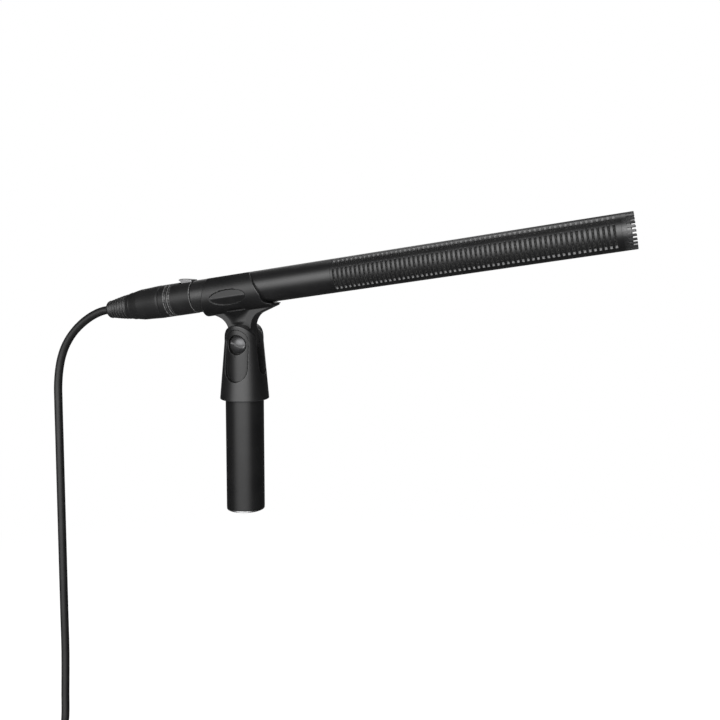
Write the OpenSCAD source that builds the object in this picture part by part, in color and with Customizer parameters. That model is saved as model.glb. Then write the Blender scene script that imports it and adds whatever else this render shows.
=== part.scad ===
// Shotgun microphone in a swivel stand clip, with its plug, its lead and a short stand tube.
// Millimetres. The origin is the centre of the threaded hole's mouth, at the foot of the stand tube.
// +Z is up, and the microphone points along +X, tilted up.

/* [Microphone tube] */
// Outer diameter of the microphone
mic_d = 21; // [19:0.5:25.5]
// Wall of the body tube and the slotted tube
mic_wall = 1.2; // [0.8:0.1:1.6]
// Length of the plain body tube
body_len = 97.5; // [80:0.5:130]
// Rows of sound slots along the slotted tube
slot_rows = 59; // [20:1:70]
// Distance from one row of slots to the next
slot_pitch = 2.82; // [2.4:0.02:3.6]
// Width of a slot along the tube
slot_w = 1.3; // [0.8:0.1:1.6]
// Arc of the long slot on each side, in degrees
slot_arc = 79; // [60:1:84]
// Arc of the short slot above it, in degrees
short_arc = 23; // [10:1:30]
// Plain land between the two slots of a side, in degrees
slot_land = 9; // [6:1:16]
// Plain band between the joint and the first slot's centre
slot_lead = 2.2; // [2:0.1:6]
// Plain band between the last slot's centre and the crown
slot_tail = 3.8; // [2:0.1:8]
// Length of the toothed crown ring
crown_len = 7; // [5:0.1:10]
// Depth of the notches between the crown's teeth
notch_depth = 4.3; // [1.5:0.1:4.4]
// Number of crown teeth
teeth = 26; // [16:1:32]

/* [Inside the microphone] */
// Outer diameter of the capsule
capsule_d = 15; // [12:0.5:15.4]
// Length of the capsule housing
capsule_len = 11; // [8:0.5:14]
// Width of the circuit board
board_w = 13; // [9:0.5:13.5]
// Length of the circuit board
board_len = 56; // [40:1:58]
// Thickness of the circuit board
board_t = 1.6; // [1:0.2:2]
// Diameter of the contact pins
pin_d = 2.4; // [2:0.1:2.6]
// Radius of the circle that the three pins stand on
pin_circle = 4; // [3.6:0.1:4.4]

/* [Clip] */
// Height of the microphone's axis above the clip's pivot
axis_h = 34.1; // [33:0.1:42]
// Tilt of the microphone above the horizontal, in degrees
tilt = 8.75; // [0:0.25:20]
// Distance that the rear rim of the microphone stands behind the pivot
mic_back = 28.5; // [26:0.5:34]
// Thickness of the cradle under the microphone
cradle_floor = 3.4; // [2.4:0.1:4.4]
// Thickness of the cradle at its two upper lips
cradle_lip = 1.5; // [1.2:0.1:2.4]
// Half of the angle that the cradle leaves open on top, in degrees
cradle_open = 31; // [20:1:50]
// Thickness of the tongue between the ears
tongue_t = 9.4; // [8:0.1:10]
// Width of the gap between the ears
ear_gap = 10; // [10:0.1:11]
// Radius of the ears' round tops
ear_r = 12.4; // [11.5:0.1:13]
// Height of the pivot above the foot of the clip base
pivot_h = 35.5; // [33:0.5:42]
// Radius of the clip base at its foot
skirt_r = 15.7; // [15.2:0.1:18]
// Diameter of the pivot screw's shank
screw_d = 5; // [4:0.5:6]
// Diameter of the pivot screw's domed head
screw_head_d = 11.2; // [10:0.1:11.8]

/* [Stand tube] */
// Diameter of the stand tube
post_d = 24.5; // [22:0.5:25]
// Height from the foot of the tube to the foot of the clip
skirt_z = 72; // [60:1:120]
// Diameter of the stand thread, five eighths of an inch
thread_d = 15.9; // [15.9:0.1:16]
// Wall of the stand tube
post_wall = 1.5; // [1:0.1:2.5]

/* [Cable plug] */
// Outer diameter of the plug's shell
plug_d = 21.4; // [20:0.1:22]
// Length of the plug's shell behind its rim
plug_len = 23.7; // [22:0.1:28]
// Diameter of the plug's nose, inside the microphone
nose_d = 15.9; // [15.5:0.1:16]
// Length of the plug's nose
nose_len = 13.5; // [11:0.5:14]
// Length of the screw-on bushing
bushing_len = 26.8; // [22:0.1:32]
// Length of the ribbed strain relief
relief_len = 17.2; // [14:0.1:22]
// Diameter of the microphone cable
cable_d = 5.6; // [5:0.1:6.8]

/* [Hidden] */
$fn = 64;

eps = 0.01;
run_fit = 0.05;            // radial clearance of a shaft that turns or slides in its bore
gap = 0.3;                 // clearance between pieces that move past each other
seat = 0.05;               // clearance between pieces that are fitted and stay put

mic_r = mic_d / 2;
bore_r = mic_r - mic_wall;                 // inside of both microphone tubes
slots_len = (slot_rows - 1) * slot_pitch;
tube_len = slot_lead + slots_len + slot_tail;
crown_w = body_len + tube_len;             // where the crown ring starts, from the rear rim
mic_len = crown_w + crown_len;
spigot_len = 9;                            // threaded end of the slotted tube, inside the body tube
spigot_wall = 1.4;
spigot_bore_r = bore_r - seat - spigot_wall;
plain_half = 38;                           // half of the plain strip under the tube, in degrees
crown_spigot = 2.4;
crown_wall = 1.3;
crown_in_r = bore_r - 0.4;
tooth_wall = 0.8;
screen_seat = 2.4;                         // step inside the crown that the front screen sits on
screen_h = 2.35;
mesh_t = 0.6;
liner_t = 0.6;

socket_r = nose_d / 2 + run_fit;           // socket at the rear of the microphone
socket_depth = nose_len + 0.8;
insert_len = 6;
pin_r = pin_d / 2;
pin_out = 11;                              // length of a pin in front of its insert
pin_angles = [0, 120, 240];

carrier_len = 3;
lead_r = 0.45;                             // radius of an inner lead
lead_x = board_t / 2 + 0.5;                // height of the inner leads over the board's lower face
lead_gap_w = 6.4;                          // width of the carriers' passage for the leads
chip_t = 1;
rear_carrier_w = socket_depth + insert_len + 3;
board_w0 = rear_carrier_w + 1;             // rear edge of the board
front_carrier_w = board_w0 + board_len - 1 - carrier_len;
capsule_w = body_len - spigot_len + 1.5;   // rear face of the capsule housing
capsule_r = capsule_d / 2;
capsule_wall = 1;

pivot_z = skirt_z + pivot_h;
cradle_bore_r = mic_r + run_fit;
cradle_out_r = cradle_bore_r + (cradle_floor + cradle_lip) / 2;
cradle_drop = (cradle_floor - cradle_lip) / 2;
cradle_rear_low = -22.9;                   // outline of the cradle from the side, about the pivot
cradle_rear_high = -15.6;
cradle_front_high = 12.5;
cradle_front_low = 23.6;
cradle_tip = 31.5;
neck_rear = -7.3;
neck_front = 8.3;
neck_rear_fillet = 11;
neck_front_fillet = 11.5;

gap_floor = 19.5;                          // from the pivot down to the gap's round floor
skirt_taper_h = 37;                        // height over which the clip base tapers
skirt_top_r = ear_r + 0.05;
recess_rim = 3;                            // width that the recess has beyond the screw's hole
recess_depth = 0.65;
recess_low = 15.5;                         // centre of the recess's lower round end, under the pivot
hole_d = screw_head_d + 1.4;
recess_w = hole_d + recess_rim;
recess_r = skirt_top_r - recess_depth;     // radius of the recess's own floor, about the base's axis
head_seat = ear_gap / 2 + 2.4;             // from the base's axis to the seat of the screw's head
head_dome_r = 8.6;
screw_slot_w = 1.2;
screw_slot_depth = 1.4;
head_h = 3.6;
nut_flats = 8;
nut_h = 4;
insert_r = thread_d / 2 + 2;
insert_h = 10.6;
skirt_bore_h = 3.6;
stud_h = 10.2;
post_top = skirt_z + 3;
foot_h = 14;                               // length of the threaded hole in the foot
foot_flange = 1;

rim_gap = 0.3;                             // between the microphone's rim and the plug's shell
latch_w = 8;
latch_len = 9.6;
latch_low = plug_d / 2 - 1.1;              // underside of the latch, from the plug's axis
latch_high = plug_d / 2 + 2.4;
latch_floor = nose_d / 2 - seat;
latch_front = 1.9;                         // how far the latch's top falls towards its front
latch_step = 1.4;                          // length of the undercut at the back of the latch
contact_wall = 0.5;
insert_back = 9;                           // depth of the socket insert behind the plug's rim
relief_p = plug_len + bushing_len;         // where the strain relief starts, behind the plug's rim
ribs = 6;
cable_r = cable_d / 2;
nose_r = cable_r + 1.7;                    // radius of the strain relief's round nose
relief_r = plug_d / 2 - 2.3;
shell_wall = 2;                            // wall of the plug's shell where the bushing screws in
bushing_lap = 5;                           // length of the thread between the shell and the bushing
chuck_p = 6;                               // start of the chuck, behind the end of the shell
chuck_len = 12;
chuck_r = plug_d / 2 - 3.5;
groove_p = [15.6, 18.6];                   // the two grooves round the shell, behind its rim
groove_depth = 0.7;
groove_w = 1;
groove_blank = 36;                         // angle over which a groove is left out, on each side
groove_turn = 102;                         // middle of a blank, from straight down
far_bore_r = nose_d / 2 + 0.15;
far_out_r = far_bore_r + 1.5;
far_insert_r = far_bore_r - 1.1;
far_insert_p = 14;                         // depth of the far insert's face behind the rim

// Route of the lead from the strain relief, down under its own weight and into the coil.
route = [[-105.3, 0, 125.8], [-110, 0, 124.3], [-116, 0, 121.5], [-122, 0, 117.7], [-128, 0, 112.8],
    [-133.5, 0, 106.8], [-138, 0, 100], [-141.4, 0, 92], [-143.6, 0, 83], [-144.8, 0, 73], [-145, 0, 60],
    [-145, 0, 40], [-145, 0, 20], [-145, 0, 0], [-145, 0, -30], [-145, 0, -60], [-145, 0, -90],
    [-145, 0, -120], [-145, 0, -150], [-145, 0, -171.2], [-145.7, 0, -176.5], [-147.6, 0, -181.5],
    [-150.7, 0, -185.9], [-154.7, 0, -189.5]];
cable_sides = 8;
coil_r = 31.5;                             // radius of the middle of the coil's turns
// distance from one turn to the next, four turns wide and four deep
strand = 1.03 * cable_d;
coil_w = 3 * strand + cable_d;
coil_h = 3 * strand * sin(60) + cable_d;
coil_at = [-133, 0, -222];               // centre of the coil
coil_corner = 6;
tie_angle = 140;                           // place of the tie round the coil, from +X towards +Z
tie_w = 16;
tie_t = 1.4;
tail_out = 1.5 * strand * sin(60);         // from the middle of the bundle to the last turn, which hangs
tail_x = coil_at[0] - coil_r - tail_out;
tail_z = coil_at[2];
far_nose_z = coil_at[2] - 29;              // top of the far plug's strain relief

// ---- places ----
// The clip's own frame: X along the microphone, Z across it, from the pivot.
module in_clip() translate([0, 0, pivot_z]) rotate([0, -tilt, 0]) children();
// The microphone's own frame: Z forwards along its axis, from the rear rim, and +X down.
module in_mic() in_clip() translate([-mic_back, 0, axis_h]) rotate([0, 90, 0]) children();
// The plug's own frame: Z backwards along the same axis, from the rim of its shell, and +X down.
module in_plug() in_mic() translate([0, 0, -rim_gap]) rotate([180, 0, 0]) children();
// The far plug's own frame: Z upwards, from the rim of its shell.
module in_far() translate([tail_x, 0, far_nose_z - relief_p - relief_len]) children();

// ---- shapes ----
// A plain tube from z to z + h.
module pipe(r_out, r_in, h, z = 0)
    translate([0, 0, z]) difference() {
        cylinder(r = r_out, h = h);
        translate([0, 0, -1]) cylinder(r = r_in, h = h + 2);
    }
module rod(r, h, z = 0) translate([0, 0, z]) cylinder(r = r, h = h);
// Points on an arc about c, from angle a0 to a1.
function arc(c, r, a0, a1, n = 8) =
    [for (i = [0:n]) let (a = a0 + (a1 - a0) * i / n) c + r * [cos(a), sin(a)]];

// ---- microphone ----
module body_tube() color([0.10, 0.10, 0.11]) in_mic() difference() {
    pipe(mic_r, bore_r, body_len);
    rotate_extrude() polygon([[mic_r - 0.4, -eps], [mic_r + 1, -eps], [mic_r + 1, 0.4 + eps], [mic_r, 0.4]]);
}

// A slot from angle a onwards, and the same slot on the other side of the tube.
module slot_pair(a, arc)
    for (s = [0, 1]) mirror([0, s, 0])
        rotate([0, 0, a]) rotate_extrude(angle = arc)
            translate([bore_r - 1, -slot_w / 2]) square([mic_wall + 2, slot_w]);

// One row: a long slot and a short slot above it on each side. The tube stays plain on top and underneath.
module slot_row() {
    slot_pair(plain_half, slot_arc);
    slot_pair(plain_half + slot_arc + slot_land, short_arc);
}

module interference_tube() color([0.12, 0.12, 0.13]) in_mic() {
    difference() {
        pipe(mic_r, bore_r, tube_len, body_len);
        for (i = [0:slot_rows - 1])
            translate([0, 0, body_len + slot_lead + i * slot_pitch]) slot_row();
    }
    rotate_extrude() polygon([
        [spigot_bore_r, body_len - spigot_len], [bore_r - seat, body_len - spigot_len],
        [bore_r - seat, body_len], [bore_r + eps, body_len], [bore_r + eps, body_len + slot_lead - slot_w],
        [spigot_bore_r, body_len + slot_lead - slot_w]]);
}

module acoustic_liner() color([0.05, 0.05, 0.05]) in_mic() {
    start = body_len + slot_lead - slot_w + seat;
    pipe(bore_r - seat, bore_r - seat - liner_t, crown_w - crown_spigot - seat - start, start);
}

module front_crown() color([0.12, 0.12, 0.13]) in_mic() {
    notch_w = PI * mic_d / teeth / 2;
    difference() {
        union() {
            pipe(mic_r, crown_in_r, screen_seat, crown_w);
            pipe(mic_r, mic_r - tooth_wall, crown_len - screen_seat + eps, crown_w + screen_seat - eps);
        }
        for (i = [0:teeth - 1])
            rotate([0, 0, i * 360 / teeth])
                translate([crown_in_r - 1, -notch_w / 2, mic_len - notch_depth])
                    cube([mic_wall + 2, notch_w, notch_depth + 1]);
    }
    pipe(bore_r - seat, bore_r - seat - crown_wall, crown_spigot + 0.6, crown_w - crown_spigot);
}

// Woven screen in a flanged ring, inside the crown.
module front_screen() color([0.3, 0.3, 0.31]) in_mic() difference() {
    rod(mic_r - tooth_wall - seat, screen_h, crown_w + screen_seat + seat);
    rod(crown_in_r - 0.6, screen_h, crown_w + screen_seat + seat - mesh_t);
}

module connector_shell() color([0.15, 0.15, 0.16]) in_mic() difference() {
    rod(bore_r - seat, socket_depth + insert_len, 0.4);
    rod(socket_r, socket_depth + 1, -0.6);
    rod(socket_r - 1, insert_len + 2, socket_depth - 1);
}

module pin_insert() color([0.04, 0.04, 0.04]) in_mic() difference() {
    rod(socket_r - 1 - seat, insert_len, socket_depth + 0.4);
    for (a = pin_angles) rotate([0, 0, a]) translate([pin_circle, 0, 0]) rod(pin_r + seat, body_len);
}

module contact_pins() color([0.83, 0.68, 0.35]) in_mic()
    for (a = pin_angles) rotate([0, 0, a]) translate([pin_circle, 0, 0])
        rod(pin_r, pin_out + insert_len + 2.4, socket_depth - pin_out + 0.4);

// Disc that holds the board, with a slot for the board's end and a passage for the leads.
module carrier(w, slot_w0, slot_w1) difference() {
    rod(bore_r - seat, carrier_len, w);
    translate([-board_t / 2 - seat, -board_w / 2 - seat, slot_w0])
        cube([board_t + 2 * seat, board_w + 2 * seat, slot_w1 - slot_w0]);
    translate([0, -lead_gap_w / 2, w - 1]) cube([lead_x + 1.2, lead_gap_w, carrier_len + 2]);
}
module rear_carrier() color([0.2, 0.2, 0.22]) in_mic()
    carrier(rear_carrier_w, board_w0 - seat, rear_carrier_w + carrier_len + 1);
module front_carrier() color([0.2, 0.2, 0.22]) in_mic()
    carrier(front_carrier_w, front_carrier_w - 1, board_w0 + board_len + seat);

module circuit_board() color([0.05, 0.3, 0.14]) in_mic()
    translate([-board_t / 2, -board_w / 2, board_w0]) cube([board_t, board_w, board_len]);

// Parts soldered to the board's upper face: capacitors, transistors and small chips.
module board_parts() color([0.5, 0.45, 0.35]) in_mic() {
    face = -board_t / 2;
    for (i = [0:2])
        translate([face, 0, board_w0 + 10 + 9 * i]) rotate([0, -90, 0]) cylinder(r = 2.5, h = 4.8);
    for (s = [-1, 1], i = [0:3])
        translate([face - chip_t, s * (board_w / 2 - 2.1) - 0.8, board_w0 + 7 + 10 * i])
            cube([chip_t, 1.6, 3.2]);
    translate([face - 1.8, -2.5, board_w0 + board_len - 17]) cube([1.8, 5, 4]);
}

module capsule_housing() color([0.62, 0.62, 0.64]) in_mic() difference() {
    rod(capsule_r, capsule_len, capsule_w);
    rod(capsule_r - capsule_wall, capsule_len, capsule_w + 1.2);
    rod(2.4, 4, capsule_w - 1);
}
module capsule_insulator() color([0.9, 0.88, 0.82]) in_mic()
    pipe(capsule_r - capsule_wall - seat, 3, 3, capsule_w + 1.2 + seat);
module backplate() color([0.8, 0.66, 0.3]) in_mic() difference() {
    rod(capsule_r - capsule_wall - seat, 1, capsule_w + 4.4);
    for (a = [0:60:300]) rotate([0, 0, a]) translate([capsule_r - 4, 0, 0]) rod(0.5, body_len + 40);
}
module diaphragm_ring() color([0.75, 0.6, 0.3]) in_mic()
    pipe(capsule_r - capsule_wall - seat, capsule_r - capsule_wall - 1.2, 0.8, capsule_w + 5.4 + seat);
module diaphragm() color([0.85, 0.75, 0.4]) in_mic()
    rod(capsule_r - capsule_wall - seat, 0.15, capsule_w + 6.2 + 2 * seat);
// Rubber sleeve that holds the capsule inside the slotted tube's threaded end.
module capsule_seal() color([0.08, 0.08, 0.08]) in_mic()
    pipe(spigot_bore_r - seat, capsule_r + seat, 5, capsule_w + 1);
// Two leads from the capsule to the board.
module capsule_leads() color([0.7, 0.1, 0.1]) in_mic()
    for (y = [-1.1, 1.1]) translate([lead_x, y, 0])
        rod(lead_r, capsule_w + 4.3 - (board_w0 + board_len - 3), board_w0 + board_len - 3);
// Three leads from the board to the contact pins.
module output_leads() color([0.1, 0.3, 0.7]) in_mic()
    for (y = [-2.4, 0, 2.4]) translate([lead_x, y, 0])
        rod(lead_r, 8, socket_depth + insert_len + 0.6);

// ---- clip ----
// Side outline of the cradle, in the clip's frame measured from the microphone's axis.
function cradle_outline() = concat(
    [[cradle_rear_low, -mic_r - 6], [cradle_rear_high, mic_r + 1]],
    arc([cradle_front_high - 0.6, mic_r - 3.6], 4, 75, 12),
    [[cradle_front_low - 2.2, -4.5]],
    arc([cradle_front_low + 6, -mic_r + 5.6], 6.6, 195, 262, 6),
    [[cradle_tip, -mic_r - 1], [cradle_tip - 0.8, -mic_r - 2.3], [cradle_front_low - 3, -mic_r - 6]]);

// Side outline of the neck and the tongue, about the pivot, with a hollow fillet on each side.
function neck_outline() =
    let (top = axis_h - mic_r - 1.6, z1 = 9.3, z2 = 7.6)
    concat(
        arc([0.5, 0], (neck_front - neck_rear) / 2 + 0.1, 180, 360, 16),
        arc([neck_front + neck_front_fillet, z2], neck_front_fillet, 180, 118, 8),
        [[cradle_tip - 4, top - 0.4], [cradle_rear_low + 5, top - 0.4]],
        arc([neck_rear - neck_rear_fillet, z1], neck_rear_fillet, 58, 0, 8));

module cradle_shell() difference() {
    intersection() {
        translate([-mic_r * 3, 0, axis_h - cradle_drop]) rotate([0, 90, 0])
            cylinder(r = cradle_out_r, h = mic_r * 7);
        translate([0, mic_d, axis_h]) rotate([90, 0, 0]) linear_extrude(2 * mic_d) polygon(cradle_outline());
    }
    translate([-mic_r * 4, 0, axis_h]) rotate([0, 90, 0]) cylinder(r = cradle_bore_r, h = mic_r * 8);
    translate([-mic_r * 4, 0, axis_h]) rotate([0, 90, 0])
        linear_extrude(mic_r * 8) polygon([[0, 0],
            2 * mic_d * [-cos(cradle_open), -sin(cradle_open)], 2 * mic_d * [-cos(cradle_open), sin(cradle_open)]]);
}

module clip_cradle() color([0.09, 0.09, 0.10]) in_clip() difference() {
    union() {
        cradle_shell();
        translate([0, tongue_t / 2, 0]) rotate([90, 0, 0]) linear_extrude(tongue_t) polygon(neck_outline());
        intersection() {
            translate([0, mic_d, 0]) rotate([90, 0, 0]) linear_extrude(2 * mic_d) polygon(neck_outline());
            translate([0.5, 0, ear_r + 4.2])
                cylinder(r1 = tongue_t / 2 + 2, r2 = mic_r * 1.06, h = axis_h - mic_r - ear_r - 5);
        }
    }
    translate([-mic_r * 4, 0, axis_h]) rotate([0, 90, 0]) cylinder(r = cradle_bore_r, h = mic_r * 8);
    rotate([90, 0, 0]) cylinder(r = screw_d / 2 + run_fit, h = mic_d, center = true);
}

// Tapered barrel, whose two ears stand on either side of the tongue.
module clip_base() color([0.09, 0.09, 0.10]) difference() {
    intersection() {
        translate([0, 0, skirt_z]) rotate_extrude() polygon(concat(
            [[0, 0], [skirt_r - 0.5, 0]], arc([skirt_r - 0.5, 0.5], 0.5, -90, 0, 4),
            [[skirt_top_r, skirt_taper_h], [skirt_top_r, pivot_h + ear_r + 2], [0, pivot_h + ear_r + 2]]));
        translate([0, mic_d, pivot_z]) rotate([90, 0, 0]) linear_extrude(2 * mic_d) union() {
            circle(r = ear_r);
            translate([-2 * mic_d, -mic_d * 4]) square([4 * mic_d, mic_d * 4]);
        }
    }
    translate([-mic_d, -ear_gap / 2, pivot_z - gap_floor + ear_gap / 2])
        cube([2 * mic_d, ear_gap, 2 * mic_d]);
    translate([-mic_d, 0, pivot_z - gap_floor + ear_gap / 2]) rotate([0, 90, 0])
        cylinder(r = ear_gap / 2, h = 2 * mic_d);
    for (s = [-1, 1]) ear_recess(s);
    translate([0, 0, skirt_z - 1]) cylinder(r = post_d / 2 + gap, h = skirt_bore_h + 1);
    translate([0, 0, skirt_z]) cylinder(r = insert_r + seat, h = skirt_bore_h + insert_h + seat);
    translate([0, 0, pivot_z]) rotate([90, 0, 0])
        cylinder(r = screw_d / 2 + run_fit, h = 2 * mic_d, center = true);
    translate([0, -head_seat, pivot_z]) rotate([90, 0, 0]) cylinder(r = hole_d / 2, h = mic_d);
    translate([0, head_seat, pivot_z]) rotate([-90, 0, 0])
        cylinder(r = nut_flats / sqrt(3) + 0.15, h = mic_d, $fn = 6);
}

// Shallow recess with round ends on one ear, whose floor is an upright round face.
module ear_recess(side) difference() {
    translate([0, side > 0 ? mic_d : 0, pivot_z]) rotate([90, 0, 0]) linear_extrude(mic_d) union() {
        translate([0, 1.8]) circle(d = recess_w);
        translate([0, -recess_low]) circle(d = recess_w);
        translate([-recess_w / 2, -recess_low]) square([recess_w, recess_low + 1.8]);
    }
    translate([0, 0, skirt_z]) cylinder(r = recess_r, h = 3 * mic_d);
}

module thread_insert() color([0.78, 0.6, 0.28])
    pipe(insert_r, thread_d / 2 + run_fit, insert_h, skirt_z + skirt_bore_h);

// Slotted screw with a domed head, on the near ear.
module pivot_screw() color([0.16, 0.16, 0.17]) translate([0, 0, pivot_z]) rotate([90, 0, 0]) {
    difference() {
        translate([0, 0, head_seat]) intersection() {
            cylinder(r = screw_head_d / 2, h = head_h);
            translate([0, 0, head_h - head_dome_r]) sphere(r = head_dome_r);
        }
        rotate([0, 0, -15]) translate([-mic_d, -screw_slot_w / 2, head_seat + head_h - screw_slot_depth])
            cube([2 * mic_d, screw_slot_w, 3]);
    }
    rod(screw_d / 2, 2 * head_seat + nut_h - 0.6 + eps, -head_seat - nut_h + 0.6);
}
module pivot_nut() color([0.55, 0.55, 0.57]) translate([0, head_seat, pivot_z]) rotate([-90, 0, 0])
    difference() {
    cylinder(r = nut_flats / sqrt(3), h = nut_h, $fn = 6);
    translate([0, 0, -1]) cylinder(r = screw_d / 2 + run_fit, h = nut_h + 2);
}

// ---- stand tube ----
module stand_tube() color([0.08, 0.08, 0.09])
    pipe(post_d / 2, post_d / 2 - post_wall, post_top - 1 - foot_flange, foot_flange);
module post_stud() color([0.5, 0.5, 0.52]) {
    rod(post_d / 2 - post_wall - seat, 12, post_top - 13);
    rod(post_d / 2 - 0.4, 1, post_top - 1);
    rod(thread_d / 2, stud_h + eps, post_top - eps);
}
module post_socket() color([0.5, 0.5, 0.52]) difference() {
    union() {
        rod(post_d / 2 - post_wall - seat, foot_h + 2, 0);
        rod(post_d / 2, foot_flange);
    }
    rod(thread_d / 2, foot_h + 1, -1);
}

// ---- cable plug ----
module plug_shell() color([0.11, 0.11, 0.12]) in_plug() difference() {
    rotate_extrude() polygon([
        [nose_d / 2 - 1, -nose_len], [nose_d / 2 - 0.4, -nose_len], [nose_d / 2, -nose_len + 0.4],
        [nose_d / 2, 0], [plug_d / 2 - 0.4, 0], [plug_d / 2, 0.4], [plug_d / 2, plug_len],
        [plug_d / 2 - shell_wall, plug_len], [plug_d / 2 - shell_wall, plug_len + bushing_lap],
        [plug_d / 2 - shell_wall - 1.2, plug_len + bushing_lap], [nose_d / 2 - 1, insert_back]]);
    for (p = groove_p) plug_groove(p);
    translate([-mic_d - latch_floor, -latch_w / 2 - gap, -0.1])
        cube([mic_d, latch_w + 2 * gap, latch_len + gap + 0.1]);
}
// Groove round the shell, left out over a small flat on each side.
module plug_groove(p)
    for (a = [0, 180]) rotate([0, 0, a + groove_turn + groove_blank / 2]) translate([0, 0, p])
        rotate_extrude(angle = 180 - groove_blank)
            translate([plug_d / 2 - groove_depth, -groove_w / 2]) square([2, groove_w]);

module latch_button() color([0.16, 0.16, 0.17]) in_plug() intersection() {
    translate([-latch_high, -latch_w / 2, gap]) cube([latch_high - latch_low, latch_w, latch_len - gap]);
    translate([-latch_high, mic_d / 2, 0]) rotate([90, 0, 0]) linear_extrude(mic_d)
        let (t = latch_high - latch_low)
            polygon([[latch_front, 0], [0, latch_len - 1], [0, latch_len], [1.2, latch_len],
            [2.2, latch_len - latch_step],
                [t, latch_len - latch_step], [t, 0]]);
}
// Bent leaf that lifts the latch.
module latch_spring() color([0.7, 0.7, 0.72]) in_plug()
    translate([-latch_low, 2, 1]) rotate([90, 0, 0]) linear_extrude(4)
        polygon([[0.1, 3], [1.35, 0.5], [1.6, 0.5], [0.35, 3.6], [1.6, 6.7], [1.35, 6.7]]);

module socket_insert() color([0.04, 0.04, 0.04]) in_plug() difference() {
    rod(nose_d / 2 - 1 - seat, nose_len + insert_back - 0.5, -nose_len + 0.3);
    for (a = pin_angles) rotate([0, 0, a]) translate([pin_circle, 0, 0])
        rod(pin_r + run_fit + contact_wall + seat, 60, -30);
}
module socket_contacts() color([0.83, 0.68, 0.35]) in_plug()
    for (a = pin_angles) rotate([0, 0, a]) translate([pin_circle, 0, 0])
        pipe(pin_r + run_fit + contact_wall, pin_r + run_fit, nose_len + insert_back + 0.8, -nose_len + 0.8);

// Tapered collet that grips the cable, between the shell and the bushing.
module chuck_body() difference() {
    translate([0, 0, plug_len + chuck_p]) cylinder(r1 = chuck_r, r2 = cable_r + 2.8, h = chuck_len);
    translate([0, 0, plug_len + chuck_p - 1]) cylinder(r = cable_r + seat, h = chuck_len + 2);
}
module cable_chuck() color([0.85, 0.85, 0.86]) in_plug() difference() {
    chuck_body();
    translate([-0.5, -mic_d, plug_len + chuck_p + chuck_len / 2]) cube([1, 2 * mic_d, chuck_len]);
}

// Outline of the bushing and its bore; outer radii fall towards the strain relief.
module bushing_profile() polygon([
    [plug_d / 2 - shell_wall + seat, 0], [plug_d / 2 - 0.5, 0], [plug_d / 2 + 0.1, 0.6], [plug_d / 2, 4],
    [plug_d / 2 - 0.4, bushing_len - 14.8], [plug_d / 2 - 0.6, bushing_len - 9.8],
    [plug_d / 2 - 1.2, bushing_len - 6.8],
    [plug_d / 2 - 1.7, bushing_len - 4.4], [plug_d / 2 - 2.1, bushing_len - 0.8],
    [plug_d / 2 - 2.5, bushing_len],
    [cable_r + 2.2, bushing_len], [chuck_r + 0.4, bushing_len - 8], [chuck_r + 0.4, bushing_lap + seat],
    [plug_d / 2 - shell_wall + seat, bushing_lap + seat]]);
module plug_bushing() color([0.10, 0.10, 0.11]) in_plug()
    translate([0, 0, plug_len]) rotate_extrude() bushing_profile();

// Ribbed rubber sleeve, whose ribs shrink towards its round nose.
function relief_at(t) = relief_r + (nose_r + 1.6 - relief_r) * pow(t, 1.3);
module relief_profile() {
    rib = (relief_len - 3.4) / ribs;
    polygon(concat(
        [[cable_r + seat, 0], [relief_r, 0]],
        [for (i = [0:ribs - 1], s = [0, 1, 2])
            [relief_at((i + s / 3) / ribs) - (s == 2 ? 0.9 : 0), (i + [0.12, 0.62, 0.86][s]) * rib]],
        arc([cable_r + 1.2, relief_len - 2], 2, 55, 90, 4),
        [[cable_r + seat, relief_len]]));
}
module strain_relief() color([0.06, 0.06, 0.06]) in_plug()
    translate([0, 0, relief_p]) rotate_extrude() relief_profile();

// ---- lead ----
// Tube of the given number of sides, swept along points in one upright plane.
module sweep(points, r, sides) {
    n = len(points);
    rings = [for (i = [0:n - 1])
        let (a = points[max(i - 1, 0)], b = points[min(i + 1, n - 1)], t = (b - a) / norm(b - a),
            up = cross(t, [0, 1, 0]))
        for (k = [0:sides - 1]) let (w = 360 * k / sides) points[i] + r * (cos(w) * [0, 1, 0] + sin(w) * up)];
    walls = [for (i = [0:n - 2], k = [0:sides - 1]) let (j = (k + 1) % sides)
        [i * sides + k, i * sides + j, (i + 1) * sides + j, (i + 1) * sides + k]];
    first = [for (k = [sides - 1:-1:0]) k];
    last = [for (k = [0:sides - 1]) (n - 1) * sides + k];
    polyhedron(rings, concat(walls, [first, last]));
}
module cable() color([0.05, 0.05, 0.05]) sweep(route, cable_r, cable_sides);

// Whole bundle of turns as one ring, with the tail that hangs from it.
module cable_coil() color([0.05, 0.05, 0.05]) {
    translate(coil_at) rotate([90, 0, 0]) rotate_extrude() translate([coil_r, 0]) coil_section();
    translate([tail_x, 0, far_nose_z + seat]) cylinder(r = cable_r, h = tail_z - far_nose_z);
}
module coil_section() hull()
    for (x = [-1, 1], y = [-1, 1])
        translate([x * (coil_h / 2 - coil_corner), y * (coil_w / 2 - coil_corner)])
            circle(r = coil_corner, $fn = 16);
module coil_tie() color([0.02, 0.02, 0.02])
    translate(coil_at) rotate([0, -tie_angle, 0]) translate([coil_r, 0, -tie_w / 2]) linear_extrude(tie_w)
        difference() {
            square([coil_h + 0.6 + 2 * tie_t, coil_w + 0.6 + 2 * tie_t], center = true);
            square([coil_h + 0.6, coil_w + 0.6], center = true);
        }

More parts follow.
